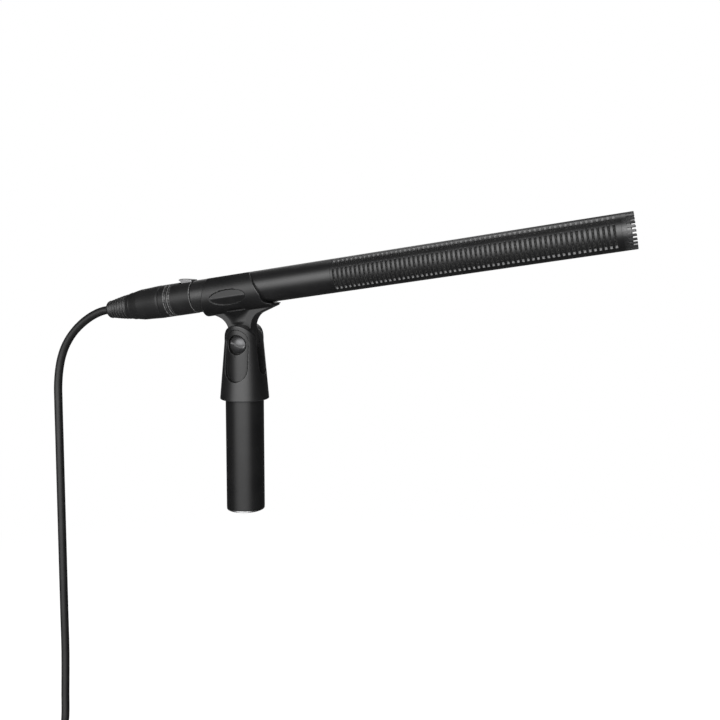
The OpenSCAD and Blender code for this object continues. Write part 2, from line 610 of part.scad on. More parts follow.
// ---- plug on the far end ----
module far_shell() color([0.11, 0.11, 0.12]) in_far() difference() {
    rod(far_out_r, plug_len);
    rod(far_bore_r, far_insert_p + 1, -1);
    rod(far_insert_r, plug_len);
}
module far_insert() color([0.04, 0.04, 0.04]) in_far() difference() {
    rod(far_insert_r - seat, insert_len, far_insert_p);
    for (a = pin_angles) rotate([0, 0, a]) translate([pin_circle, 0, 0]) rod(pin_r + seat, 40);
}
module far_pins() color([0.83, 0.68, 0.35]) in_far()
    for (a = pin_angles) rotate([0, 0, a]) translate([pin_circle, 0, 0])
        rod(pin_r, pin_out + insert_len + 2, far_insert_p - pin_out);
module far_chuck() color([0.85, 0.85, 0.86]) in_far() chuck_body();
module far_bushing() color([0.10, 0.10, 0.11]) in_far()
    translate([0, 0, plug_len]) rotate_extrude() bushing_profile();
module far_relief() color([0.06, 0.06, 0.06]) in_far()
    translate([0, 0, relief_p]) rotate_extrude() relief_profile();

body_tube();
interference_tube();
acoustic_liner();
front_crown();
front_screen();
connector_shell();
pin_insert();
contact_pins();
circuit_board();
board_parts();
rear_carrier();
front_carrier();
capsule_housing();
capsule_insulator();
backplate();
diaphragm();
diaphragm_ring();
capsule_seal();
capsule_leads();
output_leads();
clip_cradle();
clip_base();
thread_insert();
pivot_screw();
pivot_nut();
stand_tube();
post_stud();
post_socket();
plug_shell();
latch_button();
latch_spring();
socket_insert();
socket_contacts();
cable_chuck();
plug_bushing();
strain_relief();
cable();
cable_coil();
coil_tie();
far_shell();
far_insert();
far_pins();
far_chuck();
far_bushing();
far_relief();
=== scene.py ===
"""Shotgun microphone in a swivel stand clip, with its plug and lead: surfaces, finishes and studio."""

from __future__ import annotations

import sys

import logging
import math
from dataclasses import dataclass
from enum import Enum
from typing import Any, Callable, Optional, Sequence

import bmesh
import bpy
import numpy as np
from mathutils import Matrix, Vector


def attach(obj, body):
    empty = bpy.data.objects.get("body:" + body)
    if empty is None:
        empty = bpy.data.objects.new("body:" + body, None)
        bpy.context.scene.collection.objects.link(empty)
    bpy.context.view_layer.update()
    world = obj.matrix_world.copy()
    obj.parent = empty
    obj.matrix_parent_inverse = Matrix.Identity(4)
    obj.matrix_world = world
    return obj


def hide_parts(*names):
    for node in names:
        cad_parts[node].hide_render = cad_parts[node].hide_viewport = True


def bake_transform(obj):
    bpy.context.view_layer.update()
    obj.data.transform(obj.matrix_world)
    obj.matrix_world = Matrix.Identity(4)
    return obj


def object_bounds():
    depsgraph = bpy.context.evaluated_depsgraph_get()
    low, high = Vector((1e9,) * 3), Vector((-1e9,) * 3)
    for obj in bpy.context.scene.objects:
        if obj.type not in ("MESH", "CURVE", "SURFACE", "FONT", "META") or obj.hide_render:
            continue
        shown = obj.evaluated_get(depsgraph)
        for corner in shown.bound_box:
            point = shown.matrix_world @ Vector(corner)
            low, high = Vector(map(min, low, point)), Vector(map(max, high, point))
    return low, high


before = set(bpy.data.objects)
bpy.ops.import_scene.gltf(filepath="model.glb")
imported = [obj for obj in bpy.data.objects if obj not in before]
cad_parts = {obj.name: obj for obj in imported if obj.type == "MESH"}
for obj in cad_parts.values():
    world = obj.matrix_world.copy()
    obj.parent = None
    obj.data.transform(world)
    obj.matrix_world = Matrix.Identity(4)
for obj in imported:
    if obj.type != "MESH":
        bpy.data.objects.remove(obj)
CAD_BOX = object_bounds()

log = logging.getLogger("microphone")

MM = 0.001
Colour = tuple[float, float, float]
Field = Callable[[np.ndarray, np.ndarray, np.ndarray], np.ndarray]


# ---------------------------------------------------------------- shader graphs


class Value:
    """A number inside a shader graph, which Python's operators work on by adding Math nodes."""

    def __init__(self, graph: "Graph", socket: bpy.types.NodeSocket) -> None:
        """Wrap one output socket of a graph."""
        self.graph = graph
        self.socket = socket

    def _math(self, operation: str, *terms: Any) -> "Value":
        """Add one Math node.

        Args:
            operation: the Math node's operation.
            terms: numbers or values, in the order of the node's sockets.

        Returns:
            The node's result.
        """
        return self.graph.node("ShaderNodeMath", {"operation": operation}, dict(enumerate(terms)))

    def __add__(self, other: Any) -> "Value":
        """Return self + other."""
        return self._math("ADD", self, other)

    def __radd__(self, other: Any) -> "Value":
        """Return other + self."""
        return self._math("ADD", other, self)

    def __sub__(self, other: Any) -> "Value":
        """Return self - other."""
        return self._math("SUBTRACT", self, other)

    def __rsub__(self, other: Any) -> "Value":
        """Return other - self."""
        return self._math("SUBTRACT", other, self)

    def __mul__(self, other: Any) -> "Value":
        """Return self * other."""
        return self._math("MULTIPLY", self, other)

    def __rmul__(self, other: Any) -> "Value":
        """Return other * self."""
        return self._math("MULTIPLY", other, self)

    def __truediv__(self, other: Any) -> "Value":
        """Return self / other."""
        return self._math("DIVIDE", self, other)

    def sine(self) -> "Value":
        """Return the sine of the value, in radians."""
        return self._math("SINE", self)

    def step(self, low: float, high: float) -> "Value":
        """Rise smoothly from 0 where the value is low to 1 where it is high.

        Args:
            low: value at which the result is 0.
            high: value at which the result is 1.

        Returns:
            The smooth step.
        """
        return self.graph.node("ShaderNodeMapRange", {"interpolation_type": "SMOOTHSTEP"},
                               {"Value": self, "From Min": low, "From Max": high})


class Graph:
    """The node graph of one material or world."""

    def __init__(self, tree: bpy.types.NodeTree) -> None:
        """Take over a node tree and empty it."""
        self.tree = tree
        self.tree.nodes.clear()

    def node(self, kind: str, settings: Optional[dict[str, Any]] = None,
             inputs: Optional[dict[Any, Any]] = None, output: Any = 0) -> Value:
        """Add any node.

        Args:
            kind: the node's Blender type.
            settings: properties of the node, set first.
            inputs: a number, colour or value for each socket, by name or index.
            output: name or index of the output that is returned.

        Returns:
            The chosen output.
        """
        made = self.tree.nodes.new(kind)
        for name, setting in (settings or {}).items():
            setattr(made, name, setting)
        for name, given in (inputs or {}).items():
            if isinstance(given, Value):
                self.tree.links.new(given.socket, made.inputs[name])
            elif given is not None:
                made.inputs[name].default_value = given
        return Value(self, made.outputs[output]) if len(made.outputs) else Value(self, made.inputs[0])

    def place(self) -> Value:
        """Return the point's own coordinates in metres."""
        return self.node("ShaderNodeTexCoord", output="Object")

    def along(self, direction: Sequence[float], point: Value) -> Value:
        """Return how far a point lies along a direction.

        Args:
            direction: the direction, which scales the result by its length.
            point: the coordinates.

        Returns:
            The dot product of the two.
        """
        return self.node("ShaderNodeVectorMath", {"operation": "DOT_PRODUCT"},
                         {0: point, 1: tuple(direction)}, "Value")

    def noise(self, point: Value, size: float, detail: float = 2.0, rough: float = 0.5) -> Value:
        """Return cloudy noise from 0 to 1.

        Args:
            point: the coordinates, in metres.
            size: width of one cloud, in metres.
            detail: number of finer layers.
            rough: strength of the finer layers.

        Returns:
            The noise.
        """
        return self.node("ShaderNodeTexNoise", None,
                         {"Vector": point, "Scale": 1.0 / size, "Detail": detail, "Roughness": rough})

    def attribute(self, name: str) -> Value:
        """Return a number stored on the mesh's points."""
        return self.node("ShaderNodeAttribute", {"attribute_name": name}, None, "Fac")

    def blend(self, share: Value, low: Any, high: Any) -> Value:
        """Mix two colours.

        Args:
            share: 0 gives low and 1 gives high.
            low: a colour or a value.
            high: a colour or a value.

        Returns:
            The mixed colour.
        """
        def rgba(colour: Any) -> Any:
            """Give a plain colour its fourth number."""
            return colour if isinstance(colour, Value) else (*colour, 1.0)

        return self.node("ShaderNodeMix", {"data_type": "RGBA"}, {0: share, 6: rgba(low), 7: rgba(high)}, 2)


# ---------------------------------------------------------------- finishes


@dataclass(frozen=True)
class Finish:
    """A finish: its colours, gloss and fine relief. Subclasses give the relief its pattern.

    Sizes are in metres. The colour drifts between colour and drift in soft clouds, the gloss varies
    with a second cloud and fine smudges, and the wear-and-sheen colour shows where the mesh's
    wear_and_sheen is high: real edge wear on most pieces, and a painted highlight on the plug's
    groove edges and on the strain relief's rib lips.
    """

    slot: str
    colour: Colour
    drift: Colour
    roughness: float
    cloud: float = 0.012
    gloss_spread: float = 0.08
    metallic: float = 0.0
    specular: float = 0.3
    coat: float = 0.0
    grain_size: float = 0.0004
    grain_depth: float = 0.00001
    # colour and strength of real edge wear, which on the plug and the strain relief is a painted highlight instead
    wear_and_sheen_colour: Colour = (0.05, 0.05, 0.052)
    wear_and_sheen: float = 0.6

    def relief(self, graph: Graph, place: Value) -> Value:
        """Return the fine relief, 0 to 1: a sprayed skin, as soft noise in two sizes."""
        return graph.noise(place, self.grain_size, 2.0) * 0.7 + graph.noise(place, self.grain_size * 5, 1.0) * 0.3

    def tint(self, graph: Graph, place: Value, relief: Value) -> Value:
        """Return the colour: the two colours mixed by a cloud, with a little of the relief in it."""
        cloud = graph.noise(place, self.cloud, 3.0)
        return graph.blend((cloud * 0.8 + relief * 0.2).step(0.3, 0.7), self.colour, self.drift)

    def material(self) -> bpy.types.Material:
        """Return the finish's Blender material, which is made once."""
        name = "finish_" + self.slot
        found = bpy.data.materials.get(name)
        if found is not None:
            return found
        made = bpy.data.materials.new(name)
        made.use_nodes = True
        graph = Graph(made.node_tree)
        place = graph.place()
        relief = self.relief(graph, place)
        smudge = graph.noise(place, self.cloud * 0.45, 4.0, 0.6)
        # mask of real edge wear, and of painted highlight on the plug's grooves and the relief's rib lips
        wear_and_sheen_mask = graph.attribute("wear_and_sheen") * graph.noise(place, 0.0006, 2.0).step(0.25, 0.7) * self.wear_and_sheen
        colour = graph.blend(wear_and_sheen_mask, self.tint(graph, place, relief), self.wear_and_sheen_colour)
        rough = (smudge - 0.5) * (2.0 * self.gloss_spread) + (relief - 0.5) * 0.06 + self.roughness - wear_and_sheen_mask * 0.08
        bump = graph.node("ShaderNodeBump", None,
                          {"Strength": 1.0, "Distance": self.grain_depth, "Height": relief})
        shader = graph.node("ShaderNodeBsdfPrincipled", None, {
            "Base Color": colour, "Roughness": rough, "Normal": bump, "Metallic": self.metallic,
            "Specular IOR Level": self.specular, "Coat Weight": self.coat, "Coat Roughness": 0.25})
        graph.node("ShaderNodeOutputMaterial", None, {"Surface": shader})
        return made


@dataclass(frozen=True)
class Moulded(Finish):
    """Moulded plastic or rubber, whose spark-eroded mould left small round pits."""

    def relief(self, graph: Graph, place: Value) -> Value:
        """Return small rounded cells broken up by noise."""
        cells = graph.node("ShaderNodeTexVoronoi", {"feature": "SMOOTH_F1"},
                           {"Vector": place, "Scale": 1.0 / self.grain_size}, "Distance")
        return cells * 0.6 + graph.noise(place, self.grain_size * 1.7, 3.0) * 0.5


@dataclass(frozen=True)
class Turned(Finish):
    """Metal turned on a lathe: fine rings across an axis, none quite like the next."""

    axis: tuple[float, float, float] = (0.0, 0.0, 1.0)

    def relief(self, graph: Graph, place: Value) -> Value:
        """Return rings: the sine of the distance along the axis, bent by a little noise."""
        far = graph.along(self.axis, place)
        wander = graph.noise(place, 0.004, 2.0) * 3.0
        rings = (far * (2.0 * math.pi / self.grain_size) + wander).sine()
        coarse = (far * (2.0 * math.pi / (self.grain_size * 4.3)) + wander * 2.0).sine()
        return rings * 0.3 + coarse * 0.2 + graph.noise(place, self.grain_size * 2, 2.0) * 0.4 + 0.3


@dataclass(frozen=True)
class Woven(Finish):
    """Fine cloth: threads over and under in both directions of the piece's own map."""

    threads: float = 1800.0

    def relief(self, graph: Graph, place: Value) -> Value:
        """Return the weave: two rows of threads, each the size of a sine squared, crossing by turns."""
        chart = graph.node("ShaderNodeUVMap")
        u = graph.along((self.threads * math.pi, 0, 0), chart)
        v = graph.along((0, self.threads * math.pi, 0), chart)
        over = (u * 0.5).sine() * (v * 0.5).sine()
        weave = over * graph.noise(place, 0.0009, 2.0) * 0.8
        return weave + u.sine() * u.sine() * 0.25 + v.sine() * v.sine() * 0.25

    def tint(self, graph: Graph, place: Value, relief: Value) -> Value:
        """Return the colour: thread tops lighter than the gaps, as painted shade between the threads, with stray pale
        fibres.
        """
        fibre = graph.noise(place, 0.0007, 4.0, 0.7).step(0.5, 0.72)
        return graph.blend((relief * 0.6 + fibre * 0.7), self.colour, self.drift)


@dataclass(frozen=True)
class Jacket(Finish):
    """A cable's jacket: drawn lengthwise, with faint ridges of the twisted cores under it."""

    twist: float = 0.045

    def relief(self, graph: Graph, place: Value) -> Value:
        """Return long streaks along the map's first direction plus the twisted cores' soft swell."""
        chart = graph.node("ShaderNodeUVMap")
        stretched = graph.node("ShaderNodeVectorMath", {"operation": "MULTIPLY"},
                               {0: chart, 1: (180.0, 60.0, 1.0)})
        streaks = graph.node("ShaderNodeTexNoise", None, {"Vector": stretched, "Scale": 1.0, "Detail": 3.0})
        cores = (graph.along((2 * math.pi / self.twist, 4 * math.pi, 0), chart)).sine()
        return streaks * 0.5 + cores * 0.12 + graph.noise(place, self.grain_size, 2.0) * 0.35 + 0.1


@dataclass(frozen=True)
class Traced(Finish):
    """A circuit board's lacquer with copper tracks showing through it as slightly raised lines."""

    def relief(self, graph: Graph, place: Value) -> Value:
        """Return tracks: the mortar of a fine brick pattern, seen from the board's face."""
        turned = graph.node("ShaderNodeVectorMath", {"operation": "SCALE"}, {0: place, "Scale": 400.0})
        return graph.node("ShaderNodeTexBrick", {"offset": 0.37, "squash": 0.6},
                          {"Vector": turned, "Scale": 1.0, "Mortar Size": 0.06,
                           "Mortar Smooth": 0.2, "Color1": (0.1, 0.1, 0.1, 1), "Color2": (0.3, 0.3, 0.3, 1),
                           "Mortar": (0.9, 0.9, 0.9, 1)}, "Fac")


TILT = math.radians(8.75)
FORWARD = (math.cos(TILT), 0.0, math.sin(TILT))


class Finishes(Enum):
    """Every finish of the microphone, its clip, its plug and its lead."""

    SATIN_BLACK = Finish("satin_black", (0.0055, 0.0055, 0.0057), (0.0078, 0.0078, 0.008), 0.34,
                         grain_size=0.00035, grain_depth=0.000003, gloss_spread=0.04, specular=0.5, wear_and_sheen_colour=(0.12, 0.12, 0.122))
    # drift is the thread tops' colour; the darker gaps between them are painted shade
    CLOTH = Woven("acoustic_cloth", (0.004, 0.004, 0.004), (0.06, 0.06, 0.058), 0.85,
                  grain_depth=0.00008, specular=0.3)
    SCREEN = Turned("screen_mesh", (0.06, 0.06, 0.062), (0.10, 0.10, 0.10), 0.42, metallic=0.9,
                    grain_size=0.0002, grain_depth=0.000004, axis=FORWARD)
    PLATED = Turned("plated_steel", (0.42, 0.42, 0.43), (0.52, 0.52, 0.52), 0.3, metallic=1.0,
                    grain_size=0.00018, grain_depth=0.000003, axis=FORWARD)
    BLACK_PLASTIC = Moulded("black_plastic", (0.012, 0.012, 0.012), (0.02, 0.02, 0.02), 0.5,
                            grain_size=0.0003, grain_depth=0.000008)
    GOLD = Finish("gold_contact", (0.72, 0.50, 0.20), (0.80, 0.58, 0.26), 0.22, metallic=1.0,
                  grain_size=0.0002, grain_depth=0.000001, gloss_spread=0.06)
    BOARD = Traced("circuit_board", (0.008, 0.09, 0.035), (0.02, 0.16, 0.06), 0.35, grain_depth=0.00004,
                   coat=0.3)
    COMPONENT = Moulded("component", (0.10, 0.07, 0.03), (0.30, 0.24, 0.14), 0.45, cloud=0.003,
                        grain_size=0.0003)
    WHITE_PLASTIC = Moulded("white_plastic", (0.72, 0.70, 0.64), (0.62, 0.60, 0.53), 0.45,
                            grain_size=0.0003)
    BRASS = Turned("brass", (0.62, 0.42, 0.15), (0.70, 0.50, 0.20), 0.32, metallic=1.0,
                   grain_size=0.0002, grain_depth=0.000004)
    RUBBER = Moulded("black_rubber", (0.011, 0.011, 0.011), (0.02, 0.02, 0.02), 0.7,
                     grain_size=0.0004, grain_depth=0.000012, specular=0.35)
    RED_WIRE = Finish("red_wire", (0.40, 0.02, 0.015), (0.50, 0.04, 0.03), 0.38)
    BLUE_WIRE = Finish("blue_wire", (0.02, 0.06, 0.32), (0.03, 0.09, 0.42), 0.38)
    CLIP = Moulded("clip_plastic", (0.0055, 0.0055, 0.0057), (0.0078, 0.0078, 0.008), 0.37,
                   grain_size=0.00028, grain_depth=0.000003, gloss_spread=0.04, wear_and_sheen=0.35, specular=0.42)
    SCREW = Turned("screw_steel", (0.05, 0.05, 0.052), (0.085, 0.085, 0.087), 0.33, metallic=0.75,
                   grain_size=0.0002, grain_depth=0.000002, axis=(0.0, 1.0, 0.0), wear_and_sheen_colour=(0.3, 0.3, 0.3))
    STAND = Finish("stand_paint", (0.005, 0.005, 0.0052), (0.007, 0.007, 0.0072), 0.34,
                   grain_size=0.0005, grain_depth=0.000003, gloss_spread=0.04, specular=0.36)
    # The plug's wear-and-sheen colour is a painted highlight on its groove edges and joint rim.
    PLUG = Turned("plug_black", (0.007, 0.007, 0.0072), (0.0095, 0.0095, 0.0097), 0.4, specular=0.3,
                  grain_size=0.0003, grain_depth=0.0000015, axis=FORWARD, wear_and_sheen_colour=(0.22, 0.22, 0.22), wear_and_sheen=1.0)
    LATCH = Turned("latch_metal", (0.10, 0.10, 0.102), (0.15, 0.15, 0.152), 0.38, metallic=0.8,
                   grain_size=0.00025, grain_depth=0.0000015, axis=(0.0, 1.0, 0.0), wear_and_sheen_colour=(0.45, 0.45, 0.45))
    BUSHING = Moulded("bushing_plastic", (0.0075, 0.0075, 0.0077), (0.0105, 0.0105, 0.0107), 0.42, specular=0.22,
                      grain_size=0.0003, grain_depth=0.000003)
    # The strain relief's wear-and-sheen colour is a painted highlight on its rib lips.
    RELIEF = Moulded("relief_rubber", (0.0055, 0.0055, 0.0055), (0.0085, 0.0085, 0.0085), 0.48,
                     grain_size=0.0004, grain_depth=0.000002, specular=0.4, wear_and_sheen_colour=(0.1, 0.1, 0.1), wear_and_sheen=1.0)
    JACKET = Jacket("cable_jacket", (0.005, 0.005, 0.005), (0.008, 0.008, 0.008), 0.48,
                    grain_depth=0.00001, specular=0.4)
    # drift is the thread tops' colour; the darker gaps between them are painted shade
    TIE = Woven("tie_fabric", (0.006, 0.006, 0.006), (0.03, 0.03, 0.03), 0.8, grain_depth=0.00012,
                threads=900.0, specular=0.3)


# ---------------------------------------------------------------- frames and skins


@dataclass(frozen=True)
class Place:
    """A sub-assembly's own frame: where its origin stands, in millimetres, and its three axes."""

    origin: tuple[float, float, float]
    x: tuple[float, float, float] = (1.0, 0.0, 0.0)
    y: tuple[float, float, float] = (0.0, 1.0, 0.0)
    z: tuple[float, float, float] = (0.0, 0.0, 1.0)

    def put(self, points: np.ndarray) -> np.ndarray:
        """Carry points from this frame into the part's frame."""
        return np.asarray(self.origin) + points @ np.array([self.x, self.y, self.z])

    def turn(self, directions: np.ndarray) -> np.ndarray:
        """Carry directions from this frame into the part's frame."""
        return directions @ np.array([self.x, self.y, self.z])


PIVOT_Z = 107.5
AXIS_H = 34.1
MIC_BACK = 28.5
RIM_GAP = 0.3
UPRIGHT = (-math.sin(TILT), 0.0, math.cos(TILT))
DOWN = (math.sin(TILT), 0.0, -math.cos(TILT))
BACKWARD = (-FORWARD[0], 0.0, -FORWARD[2])


def on_axis(far: float) -> tuple[float, float, float]:
    """Return the point of the microphone's axis that lies far millimetres in front of its rear rim."""
    slide = far - MIC_BACK
    return (slide * FORWARD[0] + AXIS_H * UPRIGHT[0], 0.0, PIVOT_Z + slide * FORWARD[2] + AXIS_H * UPRIGHT[2])


WORLD = Place((0.0, 0.0, 0.0))
CLIP_PLACE = Place((0.0, 0.0, PIVOT_Z), FORWARD, (0.0, 1.0, 0.0), UPRIGHT)
MIC_PLACE = Place(on_axis(0.0), DOWN, (0.0, 1.0, 0.0), FORWARD)
PLUG_PLACE = Place(on_axis(-RIM_GAP), DOWN, (0.0, -1.0, 0.0), BACKWARD)


@dataclass
class Skin:
    """A surface that is being worked out: points in millimetres, faces, and what its points carry."""

    points: np.ndarray
    faces: list[np.ndarray]
    normals: Optional[np.ndarray] = None
    # per-point edge wear; on the plug shell and the strain relief it marks painted highlight
    wear_and_sheen: Optional[np.ndarray] = None
    chart: Optional[np.ndarray] = None

    def placed(self, place: Place) -> "Skin":
        """Return the skin carried into the part's frame."""
        normals = None if self.normals is None else place.turn(self.normals)
        return Skin(place.put(self.points), self.faces, normals, self.wear_and_sheen, self.chart)

    @staticmethod
    def joined(skins: Sequence["Skin"]) -> "Skin":
        """Put several skins together as one, keeping their wear and painted highlights."""
        starts = np.cumsum([0] + [len(s.points) for s in skins[:-1]])
        faces = [face + start for s, start in zip(skins, starts) for face in s.faces]
        wear_and_sheen = np.concatenate([np.zeros(len(s.points)) if s.wear_and_sheen is None else s.wear_and_sheen for s in skins])
        return Skin(np.concatenate([s.points for s in skins]), faces, None, wear_and_sheen)

    def piece(self, name: str, finish: Finishes, body: str, replaces: Sequence[str] = (),
              sharp: float = 32.0) -> bpy.types.Object:
        """Make the Blender object: weld it, turn its faces outwards, dress it and let it ride.

        Args:
            name: the piece's name.
            finish: its finish, which also names its slot.
            body: the CAD body that it rides on, or nothing for a piece that is attached to none.
            replaces: the CAD nodes that it stands for.
            sharp: edges that turn by more than this many degrees stay crisp.

        Returns:
            The new object.
        """
        mesh = bpy.data.meshes.new(name)
        faces = [face for block in self.faces for face in block.tolist()]
        mesh.from_pydata((self.points * MM).tolist(), [], faces)
        if self.wear_and_sheen is not None:
            wear_and_sheen_mask = mesh.attributes.new("wear_and_sheen", "FLOAT", "POINT")
            wear_and_sheen_mask.data.foreach_set("value", np.clip(self.wear_and_sheen, 0, 1).astype(np.float32))
        if self.chart is not None:
            corners = np.empty(len(mesh.loops), np.int32)
            mesh.loops.foreach_get("vertex_index", corners)
            chart = mesh.uv_layers.new(name="UVMap")
            chart.data.foreach_set("uv", self.chart[corners].astype(np.float32).ravel())
        if self.normals is None:
            work = bmesh.new()
            work.from_mesh(mesh)
            if self.chart is None:
                bmesh.ops.remove_doubles(work, verts=work.verts, dist=2e-7)
                bmesh.ops.dissolve_degenerate(work, edges=work.edges, dist=1e-8)
            bmesh.ops.recalc_face_normals(work, faces=work.faces)
            work.to_mesh(mesh)
            work.free()
        mesh.polygons.foreach_set("use_smooth", np.ones(len(mesh.polygons), bool))
        made = bpy.data.objects.new(name, mesh)
        bpy.context.scene.collection.objects.link(made)
        if self.normals is None:
            mesh.set_sharp_from_angle(angle=math.radians(sharp))
            weighted = made.modifiers.new("weighted_normals", "WEIGHTED_NORMAL")
            weighted.keep_sharp = True
        else:
            mesh.normals_split_custom_set_from_vertices(self.normals.astype(np.float32).tolist())
        mesh.materials.append(finish.value.material())
        if body:
            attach(made, body)
        if replaces:
            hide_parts(*replaces)
        log.info("%s: %d faces on %s", name, len(mesh.polygons), body)
        return made


def grid_faces(rows: int, columns: int, wrap_rows: bool, wrap_columns: bool) -> np.ndarray:
    """Return the four-cornered faces between neighbouring points of a grid.

    Point (r, c) has the number r * columns + c, and a wrapped direction joins its last line to its first.

    Args:
        rows: number of rows.
        columns: number of columns.
        wrap_rows: join the last row to the first.
        wrap_columns: join the last column to the first.

    Returns:
        One row of four point numbers for each face.
    """
    r, c = np.meshgrid(np.arange(rows if wrap_rows else rows - 1),
                       np.arange(columns if wrap_columns else columns - 1), indexing="ij")
    r, c = r.ravel(), c.ravel()
    r1, c1 = (r + 1) % rows, (c + 1) % columns
    return np.stack([r * columns + c, r * columns + c1, r1 * columns + c1, r1 * columns + c], 1)


def rounded(corners: Sequence[Sequence[float]], radius: float, steps: int = 3, closed: bool = True) -> np.ndarray:
    """Round a flat outline's corners.

    At each corner the two sides are cut back by the same length, at most 0.45 of the shorter one, and an
    arc of a quadratic Bezier curve, whose middle handle is the corner itself, joins the cuts.

    Args:
        corners: the outline's corners; a third number overrides the radius there.
        radius: the cut's length for a corner without its own.
        steps: number of pieces in each arc.
        closed: join the last corner to the first; an open outline keeps its two ends.

    Returns:
        The rounded outline's points.
    """
    flat = np.array([c[:2] for c in corners], float)
    cuts = np.array([c[2] if len(c) > 2 else radius for c in corners], float)
    before, after = np.roll(flat, 1, 0) - flat, np.roll(flat, -1, 0) - flat
    long_before, long_after = np.linalg.norm(before, axis=1), np.linalg.norm(after, axis=1)
    cut = np.minimum(cuts, 0.45 * np.minimum(long_before, long_after))[:, None]
    start = flat + before / np.maximum(long_before, 1e-9)[:, None] * cut
    end = flat + after / np.maximum(long_after, 1e-9)[:, None] * cut
    t = np.linspace(0, 1, steps + 1)[None, :, None]
    arcs = (1 - t) ** 2 * start[:, None] + 2 * t * (1 - t) * flat[:, None] + t ** 2 * end[:, None]
    if not closed:
        arcs[0], arcs[-1] = flat[0], flat[-1]
    points = arcs.reshape(-1, 2)
    keep = np.linalg.norm(points - np.roll(points, 1, 0), axis=1) > 1e-6
    keep[0] = True
    return points[keep]


def lathe(profile: np.ndarray, around: int = 96, closed: bool = True) -> Skin:
    """Turn a profile about the frame's z axis.

    The point of row i at angle a is (r_i cos a, r_i sin a, z_i), for the profile's radius r_i and
    height z_i. A profile that starts and ends on the axis is open and closes itself at its poles.

    Args:
        profile: radius and height of each row.
        around: number of points in each circle.
        closed: the profile's last point joins its first.

    Returns:
        The turned surface.
    """
    angle = np.linspace(0, 2 * math.pi, around, endpoint=False)
    r, z = profile[:, :1], profile[:, 1:]
    points = np.stack([r * np.cos(angle), r * np.sin(angle), z + 0 * angle], -1)
    return Skin(points.reshape(-1, 3), [grid_faces(len(profile), around, closed, True)])


def turned(corners: Sequence[Sequence[float]], radius: float = 0.2, around: int = 96, steps: int = 3) -> Skin:
    """Turn a closed outline whose corners are rounded first."""
    return lathe(rounded(corners, radius, steps), around)


def swept(line: np.ndarray, section: np.ndarray, side: np.ndarray, closed: bool = False) -> Skin:
    """Carry a flat section along a line.

    At each point of the line the section's first number goes along side, and its second along the
    cross product of the line's direction with side. The map's first number is the length so far.

    Args:
        line: the line's points.
        section: the section's points, in order round it.
        side: one unit direction that stays across the line.
        closed: the line's end joins its start.

    Returns:
        The swept surface, with flat round ends where the line is open.
    """
    if closed:
        ahead = np.roll(line, -1, 0) - np.roll(line, 1, 0)
    else:
        ahead = np.gradient(line, axis=0)
    ahead /= np.linalg.norm(ahead, axis=1)[:, None]
    across = np.broadcast_to(side, line.shape) - ahead * (ahead @ side)[:, None]
    across /= np.linalg.norm(across, axis=1)[:, None]
    up = np.cross(ahead, across)
    points = line[:, None] + section[None, :, :1] * across[:, None] + section[None, :, 1:] * up[:, None]
    count, round_ = len(line), len(section)
    faces = [grid_faces(count, round_, closed, True)]
    if not closed:
        faces += [np.arange(round_)[None, ::-1], (count - 1) * round_ + np.arange(round_)[None]]
    length = np.concatenate([[0], np.cumsum(np.linalg.norm(np.diff(line, axis=0), axis=1))])
    chart = np.stack([np.repeat(length * MM, round_), np.tile(np.arange(round_) / round_, count)], 1)
    return Skin(points.reshape(-1, 3), faces, chart=chart)


# ---------------------------------------------------------------- solids as distance fields


def both(a: np.ndarray, b: np.ndarray, r: float) -> np.ndarray:
    """Keep what lies in both fields, with the edge between them rounded to radius r.

    Where both distances are above -r the result is the length of (a + r, b + r) less r.
    """
    u, v = np.maximum(a + r, 0), np.maximum(b + r, 0)
    return np.minimum(np.maximum(a, b), -r) + np.hypot(u, v)


def either(a: np.ndarray, b: np.ndarray, r: float) -> np.ndarray:
    """Join two fields with a hollow fillet of radius r between them."""
    return -both(-a, -b, r)


def less(a: np.ndarray, b: np.ndarray, r: float) -> np.ndarray:
    """Cut field b out of field a, with the rim rounded to radius r."""
    return both(a, -b, r)


def outline(u: np.ndarray, v: np.ndarray, corners: np.ndarray) -> np.ndarray:
    """Return the signed distance to a flat outline, below zero inside.

    The distance is the least of those to the sides, each found by clamping the foot of the
    perpendicular, and the sign flips at each side that a ray to the right crosses.
    """
    u, v = np.broadcast_arrays(u, v)
    nearest, inside = np.full(u.shape, 1e9), np.zeros(u.shape, bool)
    for (ax, ay), (bx, by) in zip(corners, np.roll(corners, -1, 0)):
        ex, ey = bx - ax, by - ay
        wx, wy = u - ax, v - ay
        t = np.clip((wx * ex + wy * ey) / (ex * ex + ey * ey), 0, 1)
        nearest = np.minimum(nearest, (wx - ex * t) ** 2 + (wy - ey * t) ** 2)
        crosses = ((ay > v) != (by > v)) & (wx < ex * (v - ay) / (ey if ey else 1e-12))
        inside ^= crosses
    return np.where(inside, -1, 1) * np.sqrt(nearest)


